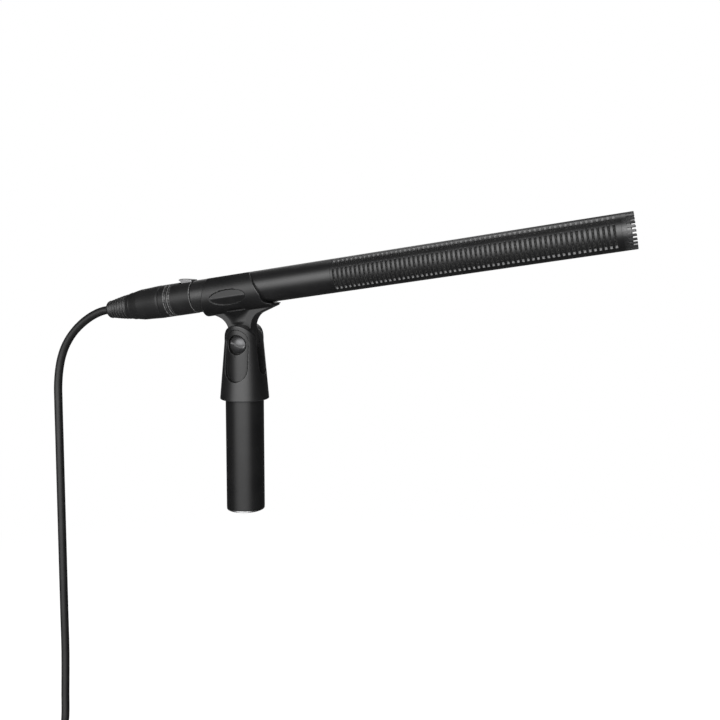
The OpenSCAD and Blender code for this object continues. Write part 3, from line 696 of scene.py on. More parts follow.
def skin_of(field: Field, low: Sequence[float], high: Sequence[float], cell: float) -> Skin:
    """Work out the surface on which a distance field is zero.

    Each cell that the surface crosses gets one point, the mean of the crossings on its twelve edges,
    and each crossed grid edge gets a face between its four cells. The points are then moved onto the
    surface by p - f g / |g|^2, where g is the field's gradient, which also gives the normals. The
    field's second differences measure how tightly an edge bends, and that is its wear.

    Args:
        field: distance of points x, y, z from the surface, below zero inside.
        low: lowest corner of the box that is searched, in millimetres.
        high: its highest corner.
        cell: width of a cell.

    Returns:
        The closed skin, with normals and wear.
    """
    axes = [np.arange(a - 2 * cell, b + 3 * cell, cell) for a, b in zip(low, high)]
    value = field(axes[0][:, None, None], axes[1][None, :, None], axes[2][None, None, :])
    value = np.broadcast_to(value, [len(a) for a in axes])
    inside = value < 0
    corners = np.array([[i, j, k] for i in (0, 1) for j in (0, 1) for k in (0, 1)])
    size = np.array(value.shape) - 1
    count = sum(inside[i:size[0] + i, j:size[1] + j, k:size[2] + k].astype(np.int8) for i, j, k in corners)
    cells = np.argwhere((count > 0) & (count < 8))
    at = np.stack([value[tuple((cells + c).T)] for c in corners], 1)
    total, hits = np.zeros((len(cells), 3)), np.zeros(len(cells))
    for a in range(8):
        for axis in range(3):
            if corners[a][axis]:
                continue
            b = a + (4, 2, 1)[axis]
            cut = (at[:, a] < 0) != (at[:, b] < 0)
            t = at[:, a] / np.where(cut, at[:, a] - at[:, b], 1)
            spot = corners[a] + np.eye(3)[axis] * t[:, None]
            total += spot * cut[:, None]
            hits += cut
    points = np.array([a[0] for a in axes]) + (cells + total / hits[:, None]) * cell
    number = np.full(size, -1, np.int64)
    number[tuple(cells.T)] = np.arange(len(cells))
    faces = []
    for axis in range(3):
        one, two = [np.eye(3, dtype=int)[(axis + s) % 3] for s in (1, 2)]
        ends = tuple(slice(None, -1) if s == axis else slice(None) for s in range(3))
        starts = tuple(slice(1, None) if s == axis else slice(None) for s in range(3))
        edges = np.argwhere(inside[ends] != inside[starts])
        edges = edges[(edges @ one > 0) & (edges @ two > 0)]
        around = np.stack([number[tuple((edges + d).T)] for d in (-one - two, -two, 0 * one, -one)], 1)
        out = inside[tuple(edges.T)]
        faces.append(np.where(out[:, None], around, around[:, ::-1]))

    def gradient(p: np.ndarray, h: float) -> tuple[np.ndarray, np.ndarray, np.ndarray]:
        """Return the field, its central differences and its summed second differences at points."""
        here = field(*p.T)
        step = np.eye(3) * h
        ahead = np.stack([field(*(p + s).T) for s in step], 1)
        behind = np.stack([field(*(p - s).T) for s in step], 1)
        return here, (ahead - behind) / (2 * h), (ahead + behind - 2 * here[:, None]).sum(1) / h ** 2

    for _ in range(3):
        here, slope, _bend = gradient(points, 0.1 * cell)
        move = -here[:, None] * slope / np.maximum((slope ** 2).sum(1), 0.05)[:, None]
        points = points + move * np.minimum(1, 0.5 * cell / np.maximum(np.linalg.norm(move, axis=1), 1e-9))[:, None]
    _here, slope, bend = gradient(points, 0.3 * cell)
    normals = slope / np.maximum(np.linalg.norm(slope, axis=1), 1e-9)[:, None]
    return Skin(points, faces, normals, np.clip((bend - 0.5) / 2.0, 0, 1))


def arc(centre: Sequence[float], radius: float, first: float, last: float, steps: int) -> np.ndarray:
    """Return points on a flat arc about centre, from angle first to angle last in degrees."""
    a = np.radians(np.linspace(first, last, steps + 1))
    return np.array(centre) + radius * np.stack([np.cos(a), np.sin(a)], 1)


def dress(node: str, finish: Finishes) -> None:
    """Give a CAD node that stays as it is its finish.

    Args:
        node: the node's name.
        finish: the finish that its material slots take.
    """
    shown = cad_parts[node]
    shown.data.materials.clear()
    shown.data.materials.append(finish.value.material())
    log.info("%s: kept from the CAD model", node)


# ---------------------------------------------------------------- studio


@dataclass
class Studio:
    """Camera, lights, floor and surroundings. Lengths are in metres."""

    camera_at: tuple[float, float, float] = (0.24695, -0.48946, 0.17131)
    yaw: float = -18.987
    pitch: float = -4.5
    lens: float = 42.60
    shift_y: float = -0.0688
    floor_half: float = 6.0
    window_toward: tuple[float, float, float] = (0.139, -0.99, 0.0)
    window_glow: float = 7.0
    room_front: Colour = (0.003, 0.003, 0.0031)
    room_behind: Colour = (0.08, 0.08, 0.0815)

    def build_camera(self) -> None:
        """Place the camera: its view direction comes from its yaw and pitch, with no roll."""
        yaw, pitch = math.radians(self.yaw), math.radians(self.pitch)
        ahead = Vector((math.sin(yaw) * math.cos(pitch), math.cos(yaw) * math.cos(pitch), math.sin(pitch)))
        data = bpy.data.cameras.new("camera")
        data.lens, data.sensor_width, data.shift_y = self.lens, 36.0, self.shift_y
        data.clip_start, data.clip_end = 0.01, 100.0
        camera = bpy.data.objects.new("camera", data)
        camera.location = self.camera_at
        camera.rotation_euler = ahead.to_track_quat("-Z", "Y").to_euler()
        bpy.context.scene.collection.objects.link(camera)
        bpy.context.scene.camera = camera

    def _softbox(self, name: str, at: Sequence[float], aim: Sequence[float], size: Sequence[float],
                 power: float) -> None:
        """Add one rectangular light.

        Args:
            name: the light's name.
            at: its centre.
            aim: the point that it faces.
            size: its width and height.
            power: its power in watts.
        """
        data = bpy.data.lights.new(name, "AREA")
        data.shape, data.size, data.size_y, data.energy = "RECTANGLE", size[0], size[1], power
        light = bpy.data.objects.new(name, data)
        light.location = at
        light.rotation_euler = (Vector(aim) - Vector(at)).to_track_quat("-Z", "Y").to_euler()
        bpy.context.scene.collection.objects.link(light)

    def build_lights(self) -> None:
        """Add a soft window in front as part of the surround, and softboxes above and behind.

        Away from the camera's own rays, the surround's light is a wide soft window in front, bright
        from a little below level to well above it, over a dim room that grows lighter behind.
        """
        self._softbox("top", (0.05, 0.35, 1.0), (0.05, 0.0, 0.1), (0.9, 0.4), 2.6)
        self._softbox("back", (-0.45, 0.95, 0.55), (0.05, 0.0, 0.12), (0.8, 0.6), 1.1)
        world = bpy.data.worlds.new("surround")
        world.use_nodes = True
        bpy.context.scene.world = world
        graph = Graph(world.node_tree)
        heading = graph.node("ShaderNodeTexCoord", output="Generated")
        rise = graph.along((0.0, 0.0, 1.0), heading)
        window = (graph.along(self.window_toward, heading).step(0.52, 0.96) * rise.step(-0.6, 0.4)
                  * (1 - rise.step(0.6, 0.82)))
        behind = graph.along((-0.25, 0.95, 0.1), heading).step(0.1, 1.0)
        room = graph.blend(behind, self.room_front, self.room_behind)
        light = graph.blend(window, room, (self.window_glow,) * 3)
        seen = graph.node("ShaderNodeLightPath", output="Is Camera Ray")
        colour = graph.blend(seen, light, (1.0, 1.0, 1.0))
        shader = graph.node("ShaderNodeBackground", None, {"Color": colour, "Strength": 1.0})
        graph.node("ShaderNodeOutputWorld", None, {"Surface": shader})
        bpy.context.scene.view_settings.view_transform = "Standard"

    def build_floor(self, level: float) -> None:
        """Lay a plain pale floor that fades into the white surround far away.

        Args:
            level: height of the floor.
        """
        h = self.floor_half
        mesh = bpy.data.meshes.new("floor")
        mesh.from_pydata([(-h, -h, level), (h, -h, level), (h, h, level), (-h, h, level)], [], [(0, 1, 2, 3)])
        floor = bpy.data.objects.new("floor", mesh)
        bpy.context.scene.collection.objects.link(floor)
        floor.visible_glossy = False
        made = bpy.data.materials.new("floor")
        made.use_nodes = True
        graph = Graph(made.node_tree)
        place = graph.place()
        far = graph.node("ShaderNodeVectorMath", {"operation": "LENGTH"}, {0: place}, "Value").step(0.45, 1.6)
        matt = graph.node("ShaderNodeBsdfPrincipled", None, {
            "Base Color": (0.7, 0.7, 0.7, 1), "Roughness": 0.9, "Specular IOR Level": 0.1,
            "Emission Color": (1, 1, 1, 1), "Emission Strength": 0.85})
        glow = graph.node("ShaderNodeEmission", None, {"Color": (1, 1, 1, 1), "Strength": 1.0})
        mixed = graph.node("ShaderNodeMixShader", None, {0: far, 1: matt, 2: glow})
        graph.node("ShaderNodeOutputMaterial", None, {"Surface": mixed})
        mesh.materials.append(made)


# ---------------------------------------------------------------- lead


@dataclass
class Lead:
    """The microphone lead: cable, coil, tie and the plug on its far end. Millimetres."""

    cable_d: float = 5.6
    coil_at: tuple[float, float] = (-133.0, -222.0)
    coil_r: float = 31.5
    join_angle: float = 123.9
    leave_angle: float = 180.0
    turns: int = 13
    shift_arc: float = 70.0
    shift_lag: float = 25.0
    nose_back: float = 67.7
    far_nose_z: float = -251.0
    plug_len: float = 23.7
    bushing_len: float = 26.8
    relief_len: float = 17.2
    tie_angle: float = 140.0
    tie_w: float = 16.0
    length: float = 3000.0

    # places in the bundle that the turns take one after another: layer from the outside, and column
    ORDER = ((0, -0.5), (0, -1.5), (1, -1), (2, -1.5), (3, -1), (2, -0.5), (1, 0), (2, 0.5), (3, 0),
             (3, 1), (2, 1.5), (1, 1), (0, 1.5), (0, 0.5))

    @property
    def strand(self) -> float:
        """Distance from one turn to the next."""
        return 1.03 * self.cable_d

    @property
    def layer(self) -> float:
        """Distance from one layer of turns to the next."""
        return self.strand * math.sin(math.radians(60))

    @property
    def far_place(self) -> Place:
        """The far plug's own frame, upwards from the rim of its shell."""
        x = self.coil_at[0] - self.coil_r - 1.5 * self.layer
        return Place((x, 0.0, self.far_nose_z - self.plug_len - self.bushing_len - self.relief_len))

    def hanging(self) -> np.ndarray:
        """Return the route from inside the strain relief down to the coil, as listed."""
        nose = np.array(on_axis(-RIM_GAP - self.nose_back))
        inside = nose + 8 * np.array(FORWARD)
        xz = [(-105.3, 125.8), (-110, 124.3), (-116, 121.5), (-122, 117.7), (-128, 112.8), (-133.5, 106.8),
              (-138, 100), (-141.4, 92), (-143.6, 83), (-144.8, 73), (-145, 60), (-145, 40), (-145, 20),
              (-145, 0), (-145, -30), (-145, -60), (-145, -90), (-145, -120), (-145, -150), (-145, -171.2),
              (-145.7, -176.5), (-147.6, -181.5), (-150.7, -185.9)]
        return np.array([inside, nose] + [(x, 0.0, z) for x, z in xz])

    def winding(self) -> np.ndarray:
        """Return the coil's centreline.

        The angle rises evenly. Each turn keeps one place of the bundle and then moves to the next along
        a smooth step; each of these moves starts a little earlier round the ring than the one before.
        """
        first, last = self.join_angle, self.leave_angle + 360.0 * self.turns
        angle = np.linspace(first, last, 36 * self.turns)
        starts = first + 360.0 * np.arange(1, self.turns + 1) - self.shift_arc - self.shift_lag * np.arange(self.turns)
        t = np.clip((angle[:, None] - starts) / self.shift_arc, 0, 1)
        moved = (t * t * (3 - 2 * t)).sum(1)
        spots = np.array([((1.5 - layer) * self.layer, column * self.strand) for layer, column in self.ORDER])
        whole = np.minimum(moved.astype(int), self.turns - 1)
        share = (moved - whole)[:, None]
        spot = spots[whole] * (1 - share) + spots[whole + 1] * share
        r, a = self.coil_r + spot[:, 0], np.radians(angle)
        return np.stack([self.coil_at[0] + r * np.cos(a), spot[:, 1], self.coil_at[1] + r * np.sin(a)], 1)

    def centreline(self) -> np.ndarray:
        """Return the whole lead's centreline, even and smooth.

        Hermite curves whose slopes are the chord-weighted means of the neighbouring chords join the
        points, and the hanging part drifts sideways into the first turn, as the tail does out of the last.
        """
        fall, coil = self.hanging(), self.winding()
        down = np.clip((-120.0 - fall[:, 2]) / 65.0, 0, 1)
        fall[:, 1] = coil[0, 1] * down * down * (3 - 2 * down)
        s = np.linspace(0, 1, 7)[1:, None]
        drop = coil[-1] + s * (np.array([self.far_place.origin[0], 0.0, self.far_nose_z + 0.0]) - coil[-1])
        drop[:, 1] = coil[-1, 1] * (1 - (s * s * (3 - 2 * s))[:, 0])
        inside = drop[-1] - np.array([0, 0, 10.0])
        knots = np.concatenate([fall, coil, drop, inside[None]])
        chord = np.linalg.norm(np.diff(knots, axis=0), axis=1)
        at = np.concatenate([[0], np.cumsum(chord)])
        slope = np.gradient(knots, at, axis=0)
        fine = np.concatenate([np.linspace(0, at[len(fall) - 1], 110),
                               np.linspace(at[len(fall) - 1], at[-1], 60 * self.turns)[1:]])
        k = np.clip(np.searchsorted(at, fine, side="right") - 1, 0, len(knots) - 2)
        h = chord[k][:, None]
        t = ((fine - at[k]) / chord[k])[:, None]
        return ((2 * t ** 3 - 3 * t ** 2 + 1) * knots[k] + (t ** 3 - 2 * t ** 2 + t) * h * slope[k]
                + (3 * t ** 2 - 2 * t ** 3) * knots[k + 1] + (t ** 3 - t ** 2) * h * slope[k + 1])

    def build_cable(self) -> tuple[bpy.types.Object, np.ndarray]:
        """Sweep a round section along the centreline to make the cable."""
        line = self.centreline()
        a = np.linspace(0, 2 * math.pi, 14, endpoint=False)
        section = self.cable_d / 2 * np.stack([np.cos(a), np.sin(a)], 1)
        skin = swept(line, section, np.array([0.0, 1.0, 0.0]))
        cable = skin.piece("lead_cable", Finishes.JACKET, "", ("cable", "cable_coil"), sharp=80)
        nose = on_axis(-RIM_GAP - self.nose_back)
        tuple(MM * v for v in nose)
        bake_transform(cable)
        return cable, line

    def build_tie(self) -> bpy.types.Object:
        """Wrap a woven strap round the bundle.

        The strap's centreline is a rounded rectangle round the bundle's section. Its width runs along the
        ring, so the point at w across it stands at the angle tie_angle + w / r round the coil.
        """
        half_r = 1.5 * self.layer + self.cable_d / 2 + 0.55
        half_y = 1.5 * self.strand + self.cable_d / 2 + 0.55
        corner = self.cable_d / 2 + 0.5
        loop = rounded([(-half_r, -half_y), (half_r, -half_y), (half_r, half_y), (-half_r, half_y)],
                       corner * 1.6, 8)
        band = rounded([(-self.tie_w / 2, -0.5), (self.tie_w / 2, -0.5), (self.tie_w / 2, 0.5),
                        (-self.tie_w / 2, 0.5)], 0.3, 2)
        ahead = np.roll(loop, -1, 0) - np.roll(loop, 1, 0)
        out = np.stack([ahead[:, 1], -ahead[:, 0]], 1) / np.linalg.norm(ahead, axis=1)[:, None]
        flat = loop[:, None] + out[:, None] * band[None, :, 1:]
        turn = math.radians(self.tie_angle) + band[None, :, 0] / (self.coil_r + 0 * flat[..., 0])
        r = self.coil_r + flat[..., 0]
        points = np.stack([self.coil_at[0] + r * np.cos(turn), flat[..., 1], self.coil_at[1] + r * np.sin(turn)], -1)
        chart = np.stack([np.repeat(np.arange(len(loop)) * 0.0015, len(band)),
                          np.tile(band[:, 0] * MM, len(loop))], 1)
        skin = Skin(points.reshape(-1, 3), [grid_faces(len(loop), len(band), True, True)], chart=chart)
        return skin.piece("coil_strap", Finishes.TIE, "lead", ("coil_tie",), sharp=50)

    def build_far_plug(self) -> list[bpy.types.Object]:
        """Turn the far plug's shell, bushing and strain relief; its inner pieces stay as they are."""
        place, n = self.far_place, self.plug_len
        shell = Skin.joined([
            turned([(8.1, 0), (9.3, 0), (9.6, 0.5), (9.6, 1.6), (9.45, 1.9), (9.45, 2.3), (9.6, 2.6),
                    (9.6, n - 5.2), (9.35, n - 4.9), (9.35, n - 4.3), (9.6, n - 4), (9.6, n), (7.0, n),
                    (7.0, 14), (8.1, 14)], 0.2)]).placed(place)
        far = [shell.piece("far_plug_shell", Finishes.PLUG, "lead", ("far_shell",))]
        far.append(bushing_skin(n, self.bushing_len, 21.4, self.cable_d).placed(place)
                   .piece("far_plug_bushing", Finishes.BUSHING, "lead", ("far_bushing",)))
        far.append(relief_skin(n + self.bushing_len, self.relief_len, 21.4, self.cable_d).placed(place)
                   .piece("far_plug_relief", Finishes.RELIEF, "lead", ("far_relief",)))
        far.append(pins_skin(4.0, 1.2, 3.0, 22.0).placed(place)
                   .piece("far_plug_pins", Finishes.PLATED, "lead", ("far_pins",)))
        dress("far_insert", Finishes.BLACK_PLASTIC)
        dress("far_chuck", Finishes.WHITE_PLASTIC)
        return far + [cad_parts["far_insert"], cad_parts["far_chuck"]]

    def build(self) -> None:
        cable, line = self.build_cable()
        tie = self.build_tie()
        far = self.build_far_plug()
        total = float(np.linalg.norm(np.diff(line, axis=0), axis=1).sum())
        log.info("lead: %.0f mm along its centreline", total)
        nose = on_axis(-RIM_GAP - self.nose_back)
        tuple(MM * v for v in nose)
        [tuple(p) for p in (line * MM).tolist()]


def pins_skin(circle: float, radius: float, low: float, high: float) -> Skin:
    """Return three round-tipped pins that stand on a circle, 120 degrees apart.

    Args:
        circle: radius of the circle.
        radius: radius of a pin.
        low: height of the tips.
        high: height of the roots.

    Returns:
        The three pins as one skin.
    """
    tip = arc((0.0, low + radius), radius, -90, 0, 5)
    one = lathe(np.concatenate([tip, [[radius, high], [0.0, high]]]), 24, closed=False)
    spots = [np.array([circle * math.cos(a), circle * math.sin(a), 0]) for a in (0, 2 * math.pi / 3, 4 * math.pi / 3)]
    return Skin.joined([Skin(one.points + spot, one.faces) for spot in spots])


def bushing_skin(start: float, length: float, plug_d: float, cable_d: float) -> Skin:
    """Return the plug's bushing: a barrel that narrows to a lipped end, hollow for the chuck."""
    r = plug_d / 2
    rows = [(r - 1.95, 0.05), (r - 0.75, 0.05), (r - 0.1, 0.75), (r + 0.1, 1.6), (r, 4.5), (r - 0.4, length - 14.8),
            (r - 0.6, length - 9.8), (r - 1.15, length - 6.8), (r - 1.6, length - 4.4), (r - 1.72, length - 3.3),
            (r - 1.66, length - 3.0), (r - 1.66, length - 2.5), (r - 1.95, length - 2.2), (r - 2.1, length - 0.9),
            (r - 2.5, length), (cable_d / 2 + 2.2, length), (r - 3.1, length - 8), (r - 3.1, 5.05), (r - 1.95, 5.05)]
    return turned([(a, start + b) for a, b in rows], 0.4)


def relief_skin(start: float, length: float, plug_d: float, cable_d: float, ribs: int = 6) -> Skin:
    """Return the strain relief: ribs whose radius falls with distance to a round nose.

    The radius at share t of the ribs' length is big + (small - big) t^1.3, and each rib rises to a
    thin lip and drops behind it.
    """
    big, small, bore = plug_d / 2 - 2.3, cable_d / 2 + 3.3, cable_d / 2 + 0.02
    pitch = (length - 3.4) / ribs
    rows: list[tuple[float, ...]] = [(bore, 0.0), (big - 0.5, 0.0)]
    for i in range(ribs):
        for share, sink in ((0.10, 0.45), (0.50, 0.15), (0.64, 0.0), (0.74, 0.0), (0.80, 1.2), (0.96, 1.2)):
            at = big + (small - big) * ((i + share) / ribs) ** 1.3
            rows.append((at - sink, (i + share) * pitch, 0.1))
    nose = [(cable_d / 2 + 1.2 + 2 * math.cos(math.radians(a)), length - 2 + 2 * math.sin(math.radians(a)), 0.1)
            for a in (5, 30, 55, 75, 90)]
    rows += nose + [(bore, length)]
    skin = turned([(row[0], start + row[1], *row[2:]) for row in rows], 0.15, steps=2)
    # Painted highlight: each rib's lip takes the lighter wear-and-sheen colour, standing in for light caught on its
    # edge.
    share = (skin.points[:, 2] - start) / pitch
    skin.wear_and_sheen = ((share < ribs) & (np.abs(share % 1.0 - 0.69) < 0.08)).astype(float)
    return skin


# ---------------------------------------------------------------- microphone


@dataclass
class Microphone:
    """The microphone's tubes, crown and inner pieces. Millimetres from the rear rim."""

    radius: float = 10.5
    wall: float = 1.2
    body_len: float = 97.5
    slot_rows: int = 59
    slot_pitch: float = 2.82
    slot_w: float = 1.3
    slot_arc: float = 79.0
    short_arc: float = 23.0
    slot_land: float = 9.0
    plain_half: float = 38.0
    slot_lead: float = 2.2
    slot_tail: float = 3.8
    crown_len: float = 7.0
    notch_depth: float = 4.3
    teeth: int = 26
    tooth_wall: float = 0.8
    screen_seat: float = 2.4
    screen_h: float = 2.35
    spigot_len: float = 9.0

    @property
    def bore(self) -> float:
        """Inner radius of both tubes."""
        return self.radius - self.wall

    @property
    def crown_w(self) -> float:
        """Place of the joint between the slotted tube and the crown."""
        return self.body_len + self.slot_lead + (self.slot_rows - 1) * self.slot_pitch + self.slot_tail

    def build_body(self) -> None:
        """Turn the plain tube, with a rolled rim behind and a fine bevel at its joint."""
        r, b, end = self.radius, self.bore, self.body_len
        skin = turned([(b, 0.0), (r - 0.35, 0.0, 0.1), (r, 0.35, 0.25), (r, end - 0.12, 0.05), (r - 0.12, end, 0.05),
                       (b, end)], 0.2, 128)
        skin.wear_and_sheen = np.exp(-skin.points[:, 2] / 0.25) * (np.hypot(*skin.points[:, :2].T) > b + 0.5)
        skin.placed(MIC_PLACE).piece("mic_body_tube", Finishes.SATIN_BLACK, "microphone", ("body_tube",))

    def sectors(self) -> list[tuple[float, float, float, int]]:
        """Share a row of the slotted wall out between its slots and the plain strips.

        Returns:
            Each sector's middle angle, its half-width, its slot's half-arc (0 for none) and its columns.
        """
        margin = self.slot_land / 2
        low, long_half, short_half = self.plain_half - margin, self.slot_arc / 2, self.short_arc / 2
        long_mid = self.plain_half + long_half
        short_mid = self.plain_half + self.slot_arc + self.slot_land + short_half
        top = short_mid + short_half + margin
        side = [(long_mid, long_half + margin, long_half, 12), (short_mid, short_half + margin, short_half, 5)]
        mirrored = [(360 - mid, half, arc_half, steps) for mid, half, arc_half, steps in reversed(side)]
        return [*side, (180.0, 180 - top, 0.0, 8), *mirrored, (360.0, low, 0.0, 10)]

    def slot_tiles(self) -> Skin:
        """Return the slotted wall: one tile for each slot, and plain strips between.

        A tile is five closed loops of points. The first is the tile's border on the outer face, the next
        two are the slot's rim and the foot of its small bevel, the fourth is the slot's outline on the
        inner face, where the saw's ends ramp inwards, and the last is the tile's border there. Loop k's
        point has an angle a, a distance w along the tube and a radius, and the loops are joined in strips.
        """
        half_pitch, half_w, bevel = self.slot_pitch / 2, self.slot_w / 2, 0.13
        deg = math.degrees(1.0 / self.radius)
        row = np.arange(self.slot_rows) * self.slot_pitch + self.body_len + self.slot_lead
        skins = []
        for middle, side, half_arc, steps in self.sectors():
            s = np.linspace(-1, 1, steps + 1)
            if not half_arc:
                rows = row[0] + half_pitch * np.arange(-1, 2 * self.slot_rows)
                for r in (self.radius, self.bore):
                    a = np.radians(middle + side * s)
                    points = np.stack([r * np.cos(a) + 0 * rows[:, None], r * np.sin(a) + 0 * rows[:, None],
                                       rows[:, None] + 0 * a], -1)
                    skins.append(Skin(points.reshape(-1, 3), [grid_faces(len(rows), steps + 1, False, False)]))
                continue
            loops = []
            for a, w, nose, r in ((side, half_pitch, 0.0, self.radius),
                                  (half_arc - 0.45 + bevel * deg, half_w + bevel, 0.55, self.radius),
                                  (half_arc - 0.45, half_w, 0.5, self.radius - bevel),
                                  (half_arc - 4.2, half_w, 0.3, self.bore), (side, half_pitch, 0.0, self.bore)):
                flat = np.concatenate([np.stack([a * s, -w + 0 * s], 1), [[a + nose, 0.0]],
                                       np.stack([-a * s, w + 0 * s], 1), [[-a - nose, 0.0]]])
                loops.append(np.concatenate([flat, np.full((len(flat), 1), r)], 1))
            tile = np.stack(loops)
            a = np.radians(tile[..., 0] + middle)[None] + 0 * row[:, None, None]
            w, r = tile[None, ..., 1] + row[:, None, None], tile[None, ..., 2]
            points = np.stack([r * np.cos(a), r * np.sin(a), w], -1).reshape(-1, 3)
            strip = grid_faces(len(loops), tile.shape[1], False, True)
            faces = (strip[None] + (np.arange(len(row)) * tile.shape[0] * tile.shape[1])[:, None, None])
            wear_and_sheen = np.tile(np.repeat([0.0, 0.0, 1.0, 0.0, 0.0], tile.shape[1]), len(row))
            skins.append(Skin(points, [faces.reshape(-1, 4)], wear_and_sheen=wear_and_sheen))
        return Skin.joined(skins)

    def build_slotted(self) -> None:
        """Build the slotted tube: its tiles, the plain bands at both ends and the threaded spigot."""
        r, b = self.radius, self.bore
        start = self.body_len
        low = start + self.slot_lead - self.slot_pitch / 2
        high = self.crown_w - self.slot_tail + self.slot_pitch / 2
        angle = np.radians(np.concatenate([middle + side * np.linspace(-1, 1, steps + 1)[:-1]
                                           for middle, side, _arc, steps in self.sectors()]))

        def band(rows: Sequence[tuple[float, float]]) -> Skin:
            """Turn an open profile on the same angles as the tiles."""
            rr, ww = np.array(rows).T[:, :, None]
            points = np.stack([rr * np.cos(angle), rr * np.sin(angle), ww + 0 * angle], -1).reshape(-1, 3)
            return Skin(points, [grid_faces(len(rows), len(angle), False, True)])

        front = self.crown_w
        bands = [band([(r, low), (r, start + 0.12), (r - 0.12, start), (b, start), (b, low)]),
                 band([(r, high), (r, front - 0.1), (r - 0.1, front), (b, front), (b, high)])]
        spigot = turned([(7.85, start - self.spigot_len), (b - 0.05, start - self.spigot_len),
                         (b - 0.05, start + 0.8), (7.85, start + 0.8)], 0.3, 64)
        Skin.joined([self.slot_tiles(), *bands, spigot]).placed(MIC_PLACE).piece(
            "mic_slotted_tube", Finishes.SATIN_BLACK, "microphone", ("interference_tube",), sharp=28)

    def build_liner(self) -> None:
        """Roll the liner's cloth: a thin tube whose map is its length and its girth in metres."""
        start, end = self.body_len + self.slot_lead - self.slot_w + 0.05, self.crown_w - 2.5
        rows = rounded([(self.bore - 0.65, start), (self.bore - 0.06, start), (self.bore - 0.06, end),
                        (self.bore - 0.65, end)], 0.05, 1)
        skin = lathe(np.concatenate([rows, rows[:1]]), 97, closed=False)
        angle = np.linspace(0, 2 * math.pi, 97)
        r, z = np.concatenate([rows, rows[:1]]).T[:, :, None]
        skin.points = np.stack([r * np.cos(angle), r * np.sin(angle), z + 0 * angle], -1).reshape(-1, 3)
        skin.faces = [grid_faces(len(rows) + 1, 97, False, False)]
        skin.chart = np.stack([skin.points[:, 2] * MM, np.tile(angle * 9.2 * MM, len(rows) + 1)], 1)
        skin.placed(MIC_PLACE).piece("mic_liner", Finishes.CLOTH, "microphone", ("acoustic_liner",))

    def build_crown(self) -> None:
        """Build the crown ring.

        Its columns stand at each tooth's and notch's edges, and twice where the height changes, so a
        column's profile runs outer foot, outer top, inner top, inner foot at its own height. The notch's
        sides are parallel: at radius q they stand asin(h / q) from its middle, for half-width h.
        """
        r, foot_r, w0 = self.radius, self.bore - 0.4, self.crown_w
        inner, step = r - self.tooth_wall, w0 + self.screen_seat
        top, notch = w0 + self.crown_len, w0 + self.crown_len - self.notch_depth
        half = math.pi * r / self.teeth / 2
        pitch = 2 * math.pi / self.teeth
        columns, bev = [], 0.12

        def edge(q: float) -> float:
            """Return the angle from a notch's middle to its side at radius q."""
            return math.asin(half / q)

        for tooth in range(self.teeth):
            middle = (tooth + 0.5) * pitch
            for share in (1.0, 1.0 - 1e-9, 0.0, -1.0 + 1e-9, -1.0):
                angle_out = middle - share * (pitch / 2 - edge(r))
                angle_in = middle - share * (pitch / 2 - edge(inner))
                columns.append((angle_out, angle_in, notch if abs(share) == 1.0 else top))
        out, inn, height = np.array(columns).T
        profile = [(r, w0 + 0 * height, out), (r, height - bev, out), (r - bev, height, out),
                   (inner + bev, height, inn), (inner, height - bev, inn), (inner, step + 0 * height, inn),
                   (foot_r, step + 0 * height, inn), (foot_r, w0 + 0 * height, inn)]
        points = np.stack([np.stack([q * np.cos(a), q * np.sin(a), z], -1) for q, z, a in profile])
        ring = Skin(points.reshape(-1, 3), [grid_faces(len(profile), len(columns), True, True)])
        ring.wear_and_sheen = np.repeat([0.0, 0.6, 1.0, 1.0, 0.6, 0.0, 0.0, 0.0], len(columns))
        spigot = turned([(7.95, w0 - 2.4), (self.bore - 0.05, w0 - 2.4), (self.bore - 0.05, w0 + 0.6),
                         (7.95, w0 + 0.6)], 0.2, 64)
        Skin.joined([ring, spigot]).placed(MIC_PLACE).piece(
            "mic_crown", Finishes.SATIN_BLACK, "microphone", ("front_crown",), sharp=25)

    def build_screen(self) -> None:
        """Weave the front screen into its ring: wires each a sine over and under the others.

        Wire i of one direction lies at u = i p and stands at height h cos(pi v / p + pi i), cut to the
        ring's circle, and the other direction's wires have the opposite sign.
        """
        pitch, thick, high = 0.9, 0.16, 0.14
        low = self.crown_w + self.screen_seat + 0.05
        rim, top = self.radius - self.tooth_wall - 0.05, low + self.screen_h
        a = np.linspace(0, 2 * math.pi, 5, endpoint=False)
        section = thick * np.stack([np.cos(a), np.sin(a)], 1)
        skins = []
        count = int((rim - 0.5) / pitch)
        for i in range(-count, count + 1):
            reach = math.sqrt((rim - 0.5) ** 2 - (i * pitch) ** 2)
            v = np.linspace(-reach, reach, max(8, int(reach * 8 / pitch)))
            rise = high * np.cos(math.pi * v / pitch + math.pi * i)
            one = np.stack([i * pitch + 0 * v, v, rise], 1)
            two = np.stack([v, i * pitch + 0 * v, -rise], 1)
            skins += [swept(one, section, np.array([1.0, 0, 0])), swept(two, section, np.array([0, 1.0, 0]))]
        skins = [Skin(s.points + np.array([0, 0, top - 0.35]), s.faces) for s in skins]
        skins.append(turned([(rim - 1.25, low), (rim, low), (rim, top), (rim - 0.8, top), (rim - 1.25, top - 0.4)],
                            0.15, 64))
        Skin.joined(skins).placed(MIC_PLACE).piece(
            "mic_screen", Finishes.SCREEN, "microphone", ("front_screen",), sharp=60)

